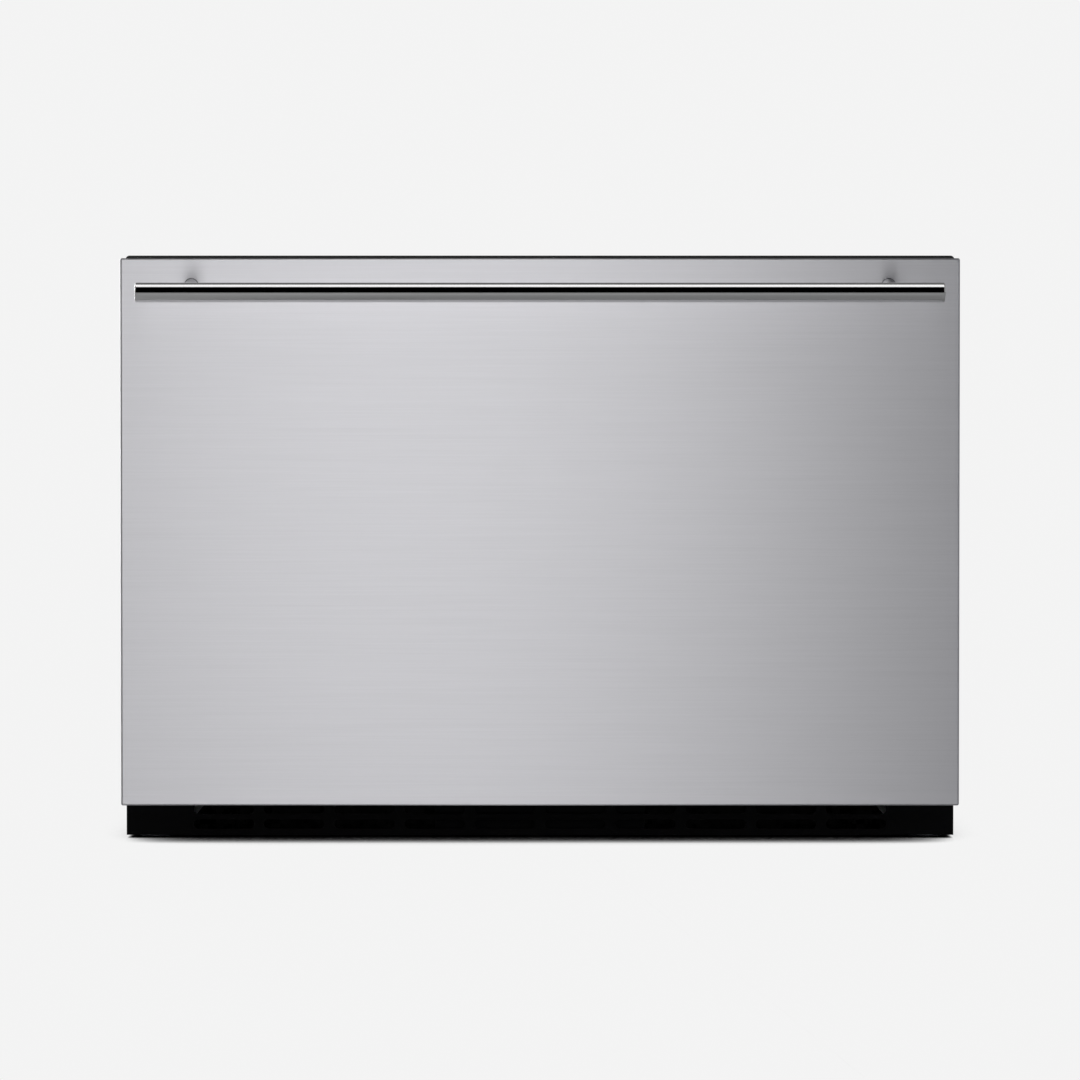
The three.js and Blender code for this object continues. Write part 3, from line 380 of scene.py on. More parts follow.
def add_loft(bm, rings, capped=True):
    """Adds a skin through closed rings of equal length; capped closes its first and last ring."""
    rows = [[bm.verts.new(point) for point in ring] for ring in rings]
    for lower, upper in zip(rows, rows[1:]):
        for i in range(len(lower)):
            j = (i + 1) % len(lower)
            bm.faces.new((lower[i], lower[j], upper[j], upper[i]))
    if capped:
        bm.faces.new(rows[0][::-1])
        bm.faces.new(rows[-1])


def add_lathe(bm, profile, centre, direction=(0, 0, 1), sides=32, wobble=None):
    """Adds a turned solid: profile is (radius, along), and wobble(angle, index) scales the radius."""
    turn = facing(direction)
    rings = []
    for index, (radius, along) in enumerate(profile):
        ring = []
        for i in range(sides):
            angle = 2 * math.pi * i / sides
            reach = radius * (wobble(angle, index) if wobble else 1.0)
            point = Vector((reach * math.cos(angle), reach * math.sin(angle), along))
            ring.append(turn @ point + Vector(centre))
        rings.append(ring)
    add_loft(bm, rings)


def add_ball(bm, centre, radius):
    bmesh.ops.create_uvsphere(
        bm, u_segments=20, v_segments=12, radius=radius, matrix=Matrix.Translation(Vector(centre)))


def add_tray(bm, spans, axis, rings):
    """Adds a skin through rounded rectangles, each given as (inset, corner radius, level)."""
    u0, u1, v0, v1 = spans
    add_loft(bm, [lay(rounded_rectangle(u0 + inset, u1 - inset, v0 + inset, v1 - inset, radius), axis, level)
                  for inset, radius, level in rings])


def add_frame(bm, spans, axis, profile, corner):
    """Sweeps a closed profile of (outward, level) points round a rounded rectangle."""
    u0, u1, v0, v1 = spans
    around = [lay(rounded_rectangle(u0 - outward, u1 + outward, v0 - outward, v1 + outward, corner + outward),
                  axis, level) for outward, level in profile]
    add_loft(bm, around + [around[0]], capped=False)


def from_curve(curve):
    """The mesh of a curve as a bmesh; the curve is used up."""
    holder = bpy.data.objects.new("outline", curve)
    mesh = bpy.data.meshes.new_from_object(holder)
    bm = bmesh.new()
    bm.from_mesh(mesh)
    bpy.data.objects.remove(holder)
    bpy.data.curves.remove(curve)
    bpy.data.meshes.remove(mesh)
    return bm


def merge(bm, other):
    """Adds another bmesh, which is used up."""
    mesh = bpy.data.meshes.new("part")
    other.to_mesh(mesh)
    other.free()
    bm.from_mesh(mesh)
    bpy.data.meshes.remove(mesh)


def add_tube(bm, points, radius, smooth=True):
    """Adds a round tube with closed ends, smooth through the points or straight between them."""
    curve = bpy.data.curves.new("tube", "CURVE")
    curve.dimensions = "3D"
    curve.bevel_depth = radius
    curve.bevel_resolution = 4
    curve.resolution_u = 10
    curve.use_fill_caps = True
    spline = curve.splines.new("BEZIER" if smooth else "POLY")
    knots = spline.bezier_points if smooth else spline.points
    knots.add(len(points) - 1)
    for knot, point in zip(knots, points):
        if smooth:
            knot.co = point
            knot.handle_left_type = knot.handle_right_type = "AUTO"
        else:
            knot.co = (*point, 1.0)
    merge(bm, from_curve(curve))


PLANES = {
    "X": Matrix(((0, 0, 1), (1, 0, 0), (0, 1, 0))),
    "Y": Matrix(((1, 0, 0), (0, 0, -1), (0, 1, 0))),
    "Z": Matrix.Identity(3),
}


def plate(outlines, axis, low, high, edge=0.0, edge_steps=2):
    """A bmesh of a flat plate across an axis, from its outline and its holes, with rounded edges."""
    curve = bpy.data.curves.new("outline", "CURVE")
    curve.dimensions = "2D"
    curve.fill_mode = "BOTH"
    curve.extrude = (high - low) / 2 - edge
    curve.bevel_depth = edge
    curve.offset = -edge
    curve.bevel_resolution = edge_steps
    for outline in outlines:
        spline = curve.splines.new("POLY")
        spline.points.add(len(outline) - 1)
        for point, (u, v) in zip(spline.points, outline):
            point.co = (u, v, 0, 1)
        spline.use_cyclic_u = True
    bm = from_curve(curve)
    middle = (low + high) / 2
    place = Matrix.Translation(Vector(["XYZ".index(axis) == i for i in range(3)]) * middle)
    bmesh.ops.transform(bm, matrix=place @ PLANES[axis].to_4x4(), verts=bm.verts)
    bmesh.ops.remove_doubles(bm, verts=bm.verts, dist=WELD)
    return bm


def add_bead(bm, start, end, radius, height, axis, level, out=1):
    """Adds a pressed stiffening bead with round ends, standing out from a plate across an axis."""
    (u0, v0), (u1, v1) = start, end
    angle = math.degrees(math.atan2(v1 - v0, u1 - u0))
    crown = [(1.0, -0.3), (1.0, 0.0), (0.88, 0.45 * height), (0.62, 0.85 * height), (0.25, height)]
    rings = []
    for share, lift in crown:
        outline = (arc(u1, v1, radius * share, angle - 90, angle + 90, 8)
                   + arc(u0, v0, radius * share, angle + 90, angle + 270, 8))
        rings.append(lay(outline, axis, level + out * lift))
    add_loft(bm, rings)


def screws(name, material, places, direction, radius, height, body="cabinet"):
    """Pan head screws with a cross recess, all in one piece; places are where their heads sit."""
    bm = bmesh.new()
    profile = [(radius, -0.3), (radius, 0.3 * height), (0.94 * radius, 0.7 * height), (0.74 * radius, height),
               (0.52 * radius, height), (0.40 * radius, 0.45 * height)]

    def recess(angle, index):
        return 1.0 if index < 4 else 0.35 + 0.65 * max(0.0, math.cos(4 * angle)) ** 2

    for place in places:
        add_lathe(bm, profile, place, direction, 32, recess)
    put(name, bm, material, 40, body=body)


# ---- drawer
def drawer_front():
    bm = bmesh.new()
    add_box(bm, skin.low, skin.high, 1.4, 4, lambda e: min(v.co.y for v in e.verts) < skin.low.y + 0.01)
    bm.normal_update()
    open_side = [f for f in bm.faces if f.normal.y > 0.99]
    bmesh.ops.delete(bm, geom=open_side, context="FACES")
    piece = finish_mesh("drawer_front_panel", bm, BRUSHED_FRONT, 50)
    thicken(piece, SHEET)
    return settle(piece, "drawer", "brushed_steel", "drawer_front_skin")


def handle_post(side):
    """A round post that rises from the bar to a small flared foot on the drawer front."""
    node = Box("handle_post_" + side)
    rise = 6
    radius = 5
    sides = 36
    bar_radius = bar.size.z / 2
    stand_off = skin.low.y - bar.mid.y
    along = Vector((0, stand_off, rise)).normalized()
    across = Vector((1, 0, 0))
    up = across.cross(along)
    middle = Vector((node.mid.x, bar.mid.y, bar.mid.z))
    # Shares of the stand-off, with what the radius gains there.
    flare = [(0, 0.6), (0.3, 0.2), (0.55, 0), (0.8, 0), (0.975, 0), (0.99, 0.1), (0.997, 0.3)]
    rings = []
    for share, extra in flare:
        ring = []
        for i in range(sides):
            angle = 2 * math.pi * i / sides
            offset = (radius + extra) * (math.cos(angle) * across + math.sin(angle) * up)
            if share == 0:
                travel = math.sqrt(bar_radius ** 2 - (math.sin(angle) * radius) ** 2)
            else:
                travel = (share * stand_off - offset.y) / along.y
            ring.append(middle + offset + travel * along)
        rings.append(ring)
    bm = bmesh.new()
    add_loft(bm, rings)
    # The post takes the darkened copy of the polished steel, a painted shade.
    return put("post_" + side, bm, POST_STEEL_PAINTED_DARK, 50, "handle_post_" + side, body="drawer")


def handle():
    radius = bar.size.z / 2
    chamfer = 1.2
    turned = arc(radius - chamfer, chamfer - bar.high.x, chamfer, -90, 0)
    turned += [(r, -along) for r, along in reversed(turned)]
    bm = bmesh.new()
    add_lathe(bm, turned, (0, bar.mid.y, bar.mid.z), (1, 0, 0), 96)
    tube = put("handle_tube", bm, POLISHED, 60, "handle_bar", body="drawer")
    return [tube] + [handle_post(side) for side, _ in SIDES]


def drawer_liner():
    """The inner door panel: a flat rim with a gasket groove, and a raised field with a dished middle."""
    liner = Box("drawer_front_liner")
    plane = skin.high.y
    top = liner.high.y
    edge = 84
    rings = [(0.2, 1.5, liner.low.y), (0, 1.5, liner.low.y + 0.3), (0, 1.5, plane - 0.3), (0.3, 1.5, plane),
             (12.5, 4, plane), (13, 4, plane - 1.2), (28.5, 9, plane - 1.2), (29, 9, plane),
             (edge - 9, 16, plane), (edge - 7, 16, plane + 0.6), (edge - 4.5, 14, plane + 5),
             (edge - 3, 13, plane + 7.4), (edge, 12, top), (edge + 14, 10, top), (edge + 15.5, 9, top - 1.5),
             (edge + 40, 6, top - 1.5)]
    bm = bmesh.new()
    add_tray(bm, liner.across("Y"), "Y", rings)
    put("drawer_inner_panel", bm, LINER, 32, "drawer_front_liner", body="drawer")


def gasket():
    """A bellows gasket: a foot, a folded neck and the pocket that holds the magnet."""
    box = Box("drawer_gasket")
    half = 7
    corner = 7.6
    section = [(4, 0), (4, 1.1), (5.6, 2.4), (4, 3.8), (6.4, 4.9), (7, 5.6), (7, 8.4),
               (6.2, box.size.y)]
    section += [(-outward, along) for outward, along in reversed(section)]
    profile = [(outward, box.low.y + along) for outward, along in section]
    bm = bmesh.new()
    add_frame(bm, box.across("Y", half), "Y", profile, corner)
    put("bellows_gasket", bm, RUBBER, 30, "drawer_gasket", body="drawer")


def bin_tub():
    """A drawn tub of thin sheet: a rolled rim, rounded corners and a beaded floor."""
    box = Box("drawer_bin")
    rim = 2.4
    corner = 14
    bend = 10
    flat = 20  # inset of the ring that closes the floor
    top, floor = box.high.z, box.low.z

    def steps(first, step):
        return [(math.sin(math.radians(d)), math.cos(math.radians(d))) for d in range(first, 91, step)]

    bottom = [(bend * (1 - c), corner, floor + bend * (1 - s)) for s, c in steps(15, 15)]
    inside = [(inset + SHEET, corner - SHEET, level + (SHEET if inset > bend / 2 else SHEET / 2))
              for inset, _, level in bottom]
    wall = [(0, corner, floor + bend), (0, corner, top - 2), (0.6 - rim, corner + rim, top - 2.4),
            (-rim, corner + rim, top - 2.2)]
    curl = [(-rim * s, corner + rim * s, top - 1.2 + 1.2 * c) for s, c in reversed(steps(0, 30))]
    rings = ([(flat, corner, floor)] + bottom[::-1] + wall + curl
             + [(SHEET, corner - SHEET, top - 0.6), (SHEET, corner - SHEET, floor + bend)]
             + inside + [(flat, corner - SHEET, floor + SHEET)])
    bm = bmesh.new()
    add_tray(bm, (box.low.x + 0.6, box.high.x - 0.6, box.low.y + rim, box.high.y - rim), "Z", rings)
    for index in range(5):
        x = (index - 2) * 88
        add_bead(bm, (x, box.low.y + 50), (x, box.high.y - 50), 5, 1.2, "Z", floor + SHEET)
    put("drawer_tub", bm, BRUSHED_BIN, 38, "drawer_bin", body="drawer")


def slides():
    """The finish of the slide members and brackets, their screws, and the ball cages."""
    for side, sign in SIDES:
        outer = Box("slide_outer_" + side)
        bracket = Box("drawer_bracket_" + side)
        members = [f"slide_{part}_{side}" for part in ("outer", "middle", "inner")]
        dress(ZINC, 0.35, "drawer_bracket_" + side, *members)
        wall_face = sign * (max(abs(outer.low.x), abs(outer.high.x)) - 1.5)
        places = [(wall_face, outer.low.y + along, outer.mid.z) for along in (14, 306)]
        screws("slide_wall_screws_" + side, ZINC, places, (-sign, 0, 0), 3, 0.9)
        places = [(sign * x, bracket.low.y + 2, bracket.low.z + height)
                  for x, height in ((231, 30), (238, 85), (231, 140), (238, 195))]
        screws("bracket_screws_" + side, ZINC, places, (0, 1, 0), 2.8, 1.6, "drawer")
        for part in ("ball_cage_outer_", "ball_cage_inner_"):
            cage(part + side, sign)


def cage(node, sign):
    """A pressed strip with a row of steel balls along its top and its bottom."""
    box = Box(node)
    ball = 2.25
    ball_pitch = 15
    window = 26
    near, far = sorted((abs(box.low.x), abs(box.high.x)))
    ball_x = sign * (near + ball)
    offset = box.size.z / 2 - ball
    web = sorted((sign * (far - 0.8), sign * far))
    windows = [rounded_rectangle(start, start + window, box.mid.z - 5, box.mid.z + 5, 3)
               for start in (box.low.y + 16, box.low.y + 62, box.low.y + 108)]
    outline = rounded_rectangle(box.low.y, box.high.y, box.mid.z - offset, box.mid.z + offset, 1.5)
    rails, balls = bmesh.new(), bmesh.new()
    merge(rails, plate([outline] + windows, "X", web[0], web[1], 0.15, 1))
    span = sorted((ball_x - sign * 1.2, sign * far))
    for z in (box.mid.z - offset, box.mid.z + offset):
        add_box(rails, (span[0], box.low.y, z - 0.4), (span[1], box.high.y, z + 0.4), 0.15, 1)
        for index in range(10):
            add_ball(balls, (ball_x, box.low.y + 7.5 + ball_pitch * index, z), ball)
    put(node + "_strip", rails, ZINC, 35, node, body=node)
    put(node + "_balls", balls, POLISHED, 60, body=node)


# ---- cabinet
def kick_grille():
    """The plate under the drawer, with two rows of slots."""
    grille = Box("kick_grille")
    columns = 10
    pitch = 51
    half_length = 22
    outlines = [rectangle(*grille.across("Y"))]
    for low, high in ((6.4, 13.3), (17.2, 24.1)):
        for column in range(columns):
            x = (column - (columns - 1) / 2) * pitch
            outlines.append(rounded_rectangle(x - half_length, x + half_length, low, high, 3.4, 6))
    bm = plate(outlines, "Y", grille.low.y, grille.high.y, 0.35)
    put("kick_plate", bm, BLACK_GRILLE, 50, "kick_grille")


def cabinet():
    """The finish of the sheet metal that stays as it is, and the front frame's screws."""
    dress(BLACK_ENAMEL, 0.4, "outer_shell", "front_frame")
    dress(BLACK_GRILLE, 0.3, "air_divider")
    dress(GALVANISED, 0.3, "underside_panel", "machine_plate", "base_rail_left", "base_rail_right")
    dress(FOAM, 0, "foam_insulation", "drawer_front_foam")
    dress(LINER, 2, "inner_liner")
    face = Box("front_frame").low.y
    places = [(sign * x, face, z) for sign in (-1, 1) for x, z in ((180, 404), (60, 404), (200, 50))]
    screws("frame_screws", BLACK_ENAMEL, places, (0, -1, 0), 3, 0.25)


def back_panel():
    """A sheet that lies a little inside the shell's edge, with pressed beads, screws and foam plugs."""
    back = Box("back_panel")
    face = back.high.y - 1.2
    bm = plate([rounded_rectangle(*back.across("Y"), 3)], "Y", back.low.y - 1, face, 0.2, 1)
    half = 215
    for level in (40, 75, 110, 145):
        z = back.low.z + level
        add_bead(bm, (-half, z), (half, z), 6, 1.1, "Y", face)
    put("back_sheet", bm, GALVANISED, 35, "back_panel")
    places = [(sign * 287, face, back.low.z + level) for sign in (-1, 1) for level in (12, 92, 172)]
    places += [(sign * 110, face, back.low.z + 178) for sign in (-1, 1)]
    screws("back_screws", ZINC, places, (0, 1, 0), 3.4, 1.1)
    plugs = bmesh.new()
    profile = [(9, 0), (9, 0.5), (8.4, 0.9), (5.5, 1.05), (5.2, 0.7), (1.5, 0.7), (1.2, 1), (0.4, 1)]
    for sign in (-1, 1):
        add_lathe(plugs, profile, (sign * 240, face, back.low.z + 16), (0, 1, 0), 40)
    put("foam_port_plugs", plugs, BLACK_PLASTIC, 40)


def rear_cover():
    """A sheet with rows of slots, each under a pressed hood, held by screws."""
    cover = Box("rear_cover")
    half = 30
    height = 6
    slots = [(x, 84 + 26 * row) for row in range(5) for x in (-210, -130, -50, 50, 130, 210)]
    outlines = [rounded_rectangle(*cover.across("Y"), 4)]
    outlines += [rounded_rectangle(x - half, x + half, low, low + height, 2.8, 4) for x, low in slots]
    bm = plate(outlines, "Y", cover.low.y, cover.high.y, 0.25, 1)
    put("rear_cover_sheet", bm, GALVANISED, 35, "rear_cover")
    rear_cover_hoods(cover, slots, half, height)
    places = [(sign * x, cover.high.y, z) for sign in (-1, 1) for x in (90, 285) for z in (68, 225)]
    screws("rear_cover_screws", ZINC, places, (0, 1, 0), 3.6, 1.9)


def rear_cover_hoods(cover, slots, half, height):
    """Pressed hoods over the slots, closed at their ends and open along their lower edge."""
    bm = bmesh.new()
    reach = 2.3
    columns, steps = 14, 6
    turns = [math.radians(90 * j / steps) for j in range(steps + 1)]
    for x, low in slots:
        grid = []
        for i in range(columns + 1):
            share = -math.cos(math.pi * i / columns)
            fullness = math.sqrt(max(0, 1 - share ** 8))
            grid.append([bm.verts.new((x + share * (half + 1),
                                       cover.high.y - 0.1 + reach * math.sin(turn) * fullness,
                                       low + (height + 2) * math.cos(turn) - 0.5)) for turn in turns])
        for first, second in zip(grid, grid[1:]):
            for j in range(steps):
                bm.faces.new((first[j], second[j], second[j + 1], first[j + 1]))
    hoods = finish_mesh("rear_cover_hoods", bm, GALVANISED, 60)
    thicken(hoods, 0.5)
    settle(hoods, "cabinet", "galvanised_steel")


def power_inlet():
    """Three blades in the mains inlet, and the two screws of its flange."""
    box = Box("power_inlet")
    dress(BLACK_PLASTIC, 0.5, "power_inlet")
    bm = bmesh.new()
    for dx, dz in ((-5, -1.5), (5, -1.5), (0, 3)):
        x, z = box.mid.x + dx, box.mid.z + dz
        add_box(bm, (x - 1, box.low.y + 5, z - 2), (x + 1, box.high.y - 4, z + 2), 0.5, 3)
    settle(finish_mesh("inlet_blades", bm, POLISHED, 40), "cabinet", "zinc_plated_steel")
    flange = box.high.y - 1.5
    places = [(box.mid.x + sign * 20, flange, box.mid.z) for sign in (-1, 1)]
    screws("inlet_screws", ZINC, places, (0, 1, 0), 2.2, 1.2)


def levelling_leg(name):
    """A foot on a threaded stud with a lock nut under the base rail."""
    box = Box(name)
    centre = Vector((box.mid.x, box.mid.y, box.low.z))
    foot = [(11.6, 0), (12.4, 0.25), (13, 1), (13, 5), (12.5, 5.8), (9.6, 6.6), (7.6, 7.1), (6.6, 7.3),
            (5, 7.4)]
    bm = bmesh.new()
    add_lathe(bm, foot, centre, sides=48)
    merge(bm, plate([circle(centre.x, centre.y, 7, 6)], "Z", 7.4, 11, 0.4, 1))
    pitch = 1.5
    step = pitch / 8
    start = 10.8
    stud = [(1, start + step * index) for index in range(int((box.size.z - start) / step) + 1)]

    def thread(angle, index):
        # An upright lathe's rings start at -X, half a turn from the thread's start.
        phase = (stud[index][1] / pitch - angle / (2 * math.pi) - 0.5) % 1
        return 3.25 + 0.7 * (1 - abs(2 * phase - 1))

    add_lathe(bm, stud, centre, sides=24, wobble=thread)
    put(name + "_foot_and_stud", bm, ZINC, 30, name, body=name)


# ---- machine room
COMPRESSOR = (-150, 236)  # centre of the can, in x and y
FAN_HEIGHT = 328  # of the evaporator fan's shaft, up in the cold space


def compressor():
    """A welded steel can with a seam, on a foot plate with rubber grommets and nuts."""
    x, y = COMPRESSOR
    squeeze = 52 / 60
    can = [(2, 24.2), (30, 24.4), (45, 26), (53, 30), (57.5, 38), (59, 50), (59, 74), (60, 75), (60, 79),
           (59, 80), (59, 98), (57.5, 112), (53, 126), (45, 137), (33, 145), (18, 150), (2, 151.7)]
    stub = [(5, 0), (5, 14), (4.4, 15), (4.4, 22), (5, 23), (5, 31), (4.2, 31.6)]
    bm = bmesh.new()
    add_lathe(bm, can, (0, 0, 0), sides=72)
    bmesh.ops.scale(bm, vec=(1, squeeze, 1), verts=bm.verts)
    bmesh.ops.translate(bm, vec=(x, y, 0), verts=bm.verts)
    for pipe_y, pipe_z in ((270, 90), (202, 45)):
        add_lathe(bm, stub, (Box("compressor").mid.x + 24, pipe_y, pipe_z), (1, 0, 0), 24)
    merge(bm, plate([rounded_rectangle(x - 68, x + 68, y - 40, y + 40, 8)], "Z", 18, 20.5, 0.4))
    add_tray(bm, (x - 36, x + 36, y - 30, y + 30), "Z", [(0, 8, 20.3), (1.5, 8, 22), (3, 8, 30)])
    put("compressor_can", bm, BLACK_ENAMEL, 38, "compressor")

    grommets, nuts = bmesh.new(), bmesh.new()
    grommet = [(6.5, 5.8), (8, 6.2), (8, 9.5), (6.2, 10.5), (6.2, 13.5), (8, 14.5), (8, 17.6), (7.4, 18)]
    nut = [(5.2, 20.4), (5.2, 24), (4.6, 24.6), (3, 24.6), (2.9, 27.5), (2.3, 28)]
    for dx in (-58, 58):
        for dy in (-32, 32):
            add_lathe(grommets, grommet, (x + dx, y + dy, 0), sides=32)
            add_lathe(nuts, nut, (x + dx, y + dy, 0), sides=6)
    put("compressor_grommets", grommets, RUBBER, 40)
    put("compressor_nuts", nuts, ZINC, 25)


def relay_cover():
    """A moulded cap over the compressor's terminals, with four shallow ribs."""
    box = Box("compressor_relay_cover")
    rings = [(0.4, 5, box.low.x), (0, 5, box.low.x + 0.5), (0, 5, box.low.x + 6), (0.8, 5, box.low.x + 7),
             (1.6, 5, box.high.x - 3), (2.6, 4.4, box.high.x - 1), (5, 3, box.high.x)]
    bm = bmesh.new()
    add_tray(bm, box.across("X"), "X", rings)
    for index in range(4):
        z = box.low.z + 11 + 9 * index
        add_bead(bm, (box.low.y + 9, z), (box.high.y - 9, z), 1.4, 0.2, "X", box.high.x - 0.1, 0.4)
    put("relay_cover", bm, BLACK_PLASTIC, 38, "compressor_relay_cover")


def coil(node, along, across, rows, tube_radius):
    """A finned coil: thin fins on serpentine tubes that turn round past the end fins."""
    box = Box(node)
    i, j = "XYZ".index(along), "XYZ".index(across)
    end = 9
    fin_pitch, fin_sheet = 3.2, 0.35
    fins = bmesh.new()
    count = int((box.size[i] - 2 * end) / fin_pitch)
    for index in range(count + 1):
        low, high = box.low.copy(), box.high.copy()
        low[i] = box.low[i] + end + index * (box.size[i] - 2 * end) / count - fin_sheet / 2
        high[i] = low[i] + fin_sheet
        add_box(fins, low, high)
    put(node + "_fins", fins, ALUMINIUM, 30, node)
    pitch = box.size.z / rows
    turn = arc(0, 0, 1, -90, 90, 8)[1:-1]
    tubes = bmesh.new()
    for column in (0.27, 0.73):
        points = []
        for row in range(rows):
            z = box.low.z + pitch * (row + 0.5)
            run = [box.low[i] + end, box.high[i] - end]
            if row % 2:
                run.reverse()
            points += [(place, z) for place in run]
            if row < rows - 1:
                sign = 1 if run[1] > run[0] else -1
                # The bend is a flattened half circle, so that it stays inside the coil's box.
                points += [(run[1] + sign * u * 0.6 * end, z + pitch / 2 + v * pitch / 2) for u, v in turn]
        route = lay(points, across, box.low[j] + column * box.size[j])
        add_tube(tubes, route, tube_radius, smooth=False)
    put(node + "_tubes", tubes, COPPER, 50)


def add_blade(bm, place, root, tip, chord, pitch):
    """Adds a twisted, cambered fan blade about the local Z axis."""
    camber = 0.07
    half_sheet = 0.7
    stations, around = 8, 20
    rings = []
    for index in range(stations + 1):
        share = index / stations
        radius = root + (tip - root) * share
        angle = pitch * (1.3 - 0.5 * share)
        width = chord * (0.72 + 0.38 * math.sin(math.pi * (0.15 + 0.65 * share)))
        ring = []
        for step in range(around):
            turn = 2 * math.pi * step / around
            run = 0.5 * width * math.cos(turn)
            rise = half_sheet * math.sin(turn) + camber * width * (1 - (2 * run / width) ** 2)
            sweep = (run * math.cos(angle) - rise * math.sin(angle)) / radius + 0.22 * share
            ring.append(place @ Vector((radius * math.cos(sweep), radius * math.sin(sweep),
                                        run * math.sin(angle) + rise * math.cos(angle))))
        rings.append(ring)
    add_loft(bm, rings)


def fan_rotor(node, body, centre, direction, tip, hub, half_hub, blades, chord, pitch):
    """A moulded fan: a domed hub with a ring of blades, set at a pitch in degrees."""
    bm = bmesh.new()
    cap = [(0.35 * hub, -half_hub), (hub - 1.5, -half_hub), (hub, -half_hub + 1.5), (hub, half_hub - 3),
           (hub - 1, half_hub - 1), (hub - 3.5, half_hub), (0.3 * hub, half_hub),
           (0.22 * hub, half_hub - 1.2)]
    add_lathe(bm, cap, centre, direction, 48)
    for index in range(blades):
        turn = facing(direction) @ Matrix.Rotation(2 * math.pi * index / blades, 3, "Z")
        place = Matrix.Translation(Vector(centre)) @ turn.to_4x4()
        add_blade(bm, place, hub - 1, tip - 0.5, chord, math.radians(pitch))
    put(node + "_moulding", bm, BLACK_PLASTIC, 40, node, body=body)


def fans():
    """The motor can of the condenser fan with its rivets, and both rotors."""
    motor = Box("condenser_fan_motor")
    dress(BLACK_PLASTIC, 0.5, "condenser_fan_shroud", "evaporator_fan_frame")
    bm = bmesh.new()
    can = [(6, 0), (8.6, 0.4), (9, 1.2), (9, 4), (12, 4.6), (17, 5.4), (19.4, 7.2), (20, 9.5), (20, 25.2),
           (19.4, 26.6), (17, 27.6)]
    add_lathe(bm, can, (motor.low.x, motor.mid.y, motor.mid.z), (1, 0, 0), 48)
    for y, z in circle(motor.mid.y, motor.mid.z, 19.8, 12):
        add_ball(bm, (motor.low.x + 17.5, y, z), 0.9)
    put("fan_motor_can", bm, GALVANISED, 38, "condenser_fan_motor")
    fan_rotor("condenser_fan_rotor", "condenser_fan", (109, 234, 100), (1, 0, 0),
              tip=52, hub=18, half_hub=8, blades=5, chord=34, pitch=24)
    fan_rotor("evaporator_fan_rotor", "evaporator_fan", (0, 142, FAN_HEIGHT), (0, -1, 0),
              tip=41, hub=17, half_hub=8.5, blades=7, chord=20, pitch=32)


def pipework():
    """Copper lines with brazed collars."""
    discharge = [(-94.7, 202, 45), (-78, 202, 44), (-50, 204, 30), (0, 206, 22), (60, 214, 18),
                 (121.5, 220, 18)]
    suction = [(-94.7, 270, 90), (-76, 270, 91), (-54, 267, 104), (-42, 261, 130), (-40, 260, 170),
               (-40, 260, 230), (-40, 260, 290), (-40, 252, 318), (-40, 232, 328), (-40, 215.5, 328)]
    capillary = [(-20, 225, 130.5), (-20, 226, 144), (-26, 244, 166), (-30, 258, 190), (-30, 260, 230),
                 (-30, 260, 280), (-30, 252, 300), (-30, 234, 308), (-30, 215.5, 308)]
    collars = bmesh.new()
    for name, route, radius in (("discharge_pipe", discharge, 2.5), ("suction_pipe", suction, 4),
                                ("capillary_tube", capillary, 1.5)):
        bm = bmesh.new()
        add_tube(bm, route, radius)
        put(name + "_copper", bm, COPPER, 50, name)
        swell = [(radius + 0.1, 0.2), (radius + 0.9, 0.7), (radius + 0.7, 1.8), (radius + 0.1, 3)]
        for end, beyond in (route[:2], route[:-3:-1]):
            add_lathe(collars, swell, end, Vector(beyond) - Vector(end), 20)
    put("brazed_collars", collars, BRAZE, 60)


def drier():
    """The filter drier, standing in the liquid line."""
    liquid = [(-20, 225, 45), (-20, 226, 30), (-4, 232, 20), (40, 246, 18), (80, 250, 18), (121.5, 250, 18)]
    body = [(2.8, 40), (3, 43), (5.2, 46), (7.4, 49), (8, 52), (8, 66), (7.6, 67), (7.6, 69), (8, 70),
            (8, 118), (7.4, 121), (5.2, 124), (2.6, 127), (2.2, 130)]
    bm = bmesh.new()
    add_lathe(bm, body, (*liquid[0][:2], 0))
    add_tube(bm, liquid, 2.5)
    put("drier_and_liquid_line", bm, COPPER, 45, "filter_drier")


def drain():
    """The pan over the compressor, and the corrugated hose that ends above it."""
    pan = Box("drain_pan")
    low, top = pan.low.z, pan.high.z
    rings = [(5, 6, low), (1.5, 8, low + 0.6), (0.8, 8, low + 4), (0.6, 8, top - 3), (0, 8, top - 2.4),
             (0, 8, top - 0.4), (0.4, 8, top), (1.8, 7, top), (2.2, 7, top - 0.6), (2.4, 7, low + 6),
             (4, 6, low + 2.2), (8, 5, low + 1.7)]
    bm = bmesh.new()
    add_tray(bm, pan.across("Z"), "Z", rings)
    put("evaporation_pan", bm, BLACK_PLASTIC, 38, "drain_pan")

    hose = Box("drain_hose")
    folds = 26
    bellows = [(7.9 if step % 2 else 7, hose.size.z * step / (2 * folds)) for step in range(2 * folds + 1)]
    bore = [(6, hose.size.z), (6, 0)]
    rings = [lay(circle(hose.mid.x, hose.mid.y, radius, 32), "Z", hose.low.z + along)
             for radius, along in bellows + bore + bellows[:1]]
    bm = bmesh.new()
    add_loft(bm, rings, capped=False)
    put("corrugated_hose", bm, RUBBER, 20, "drain_hose")


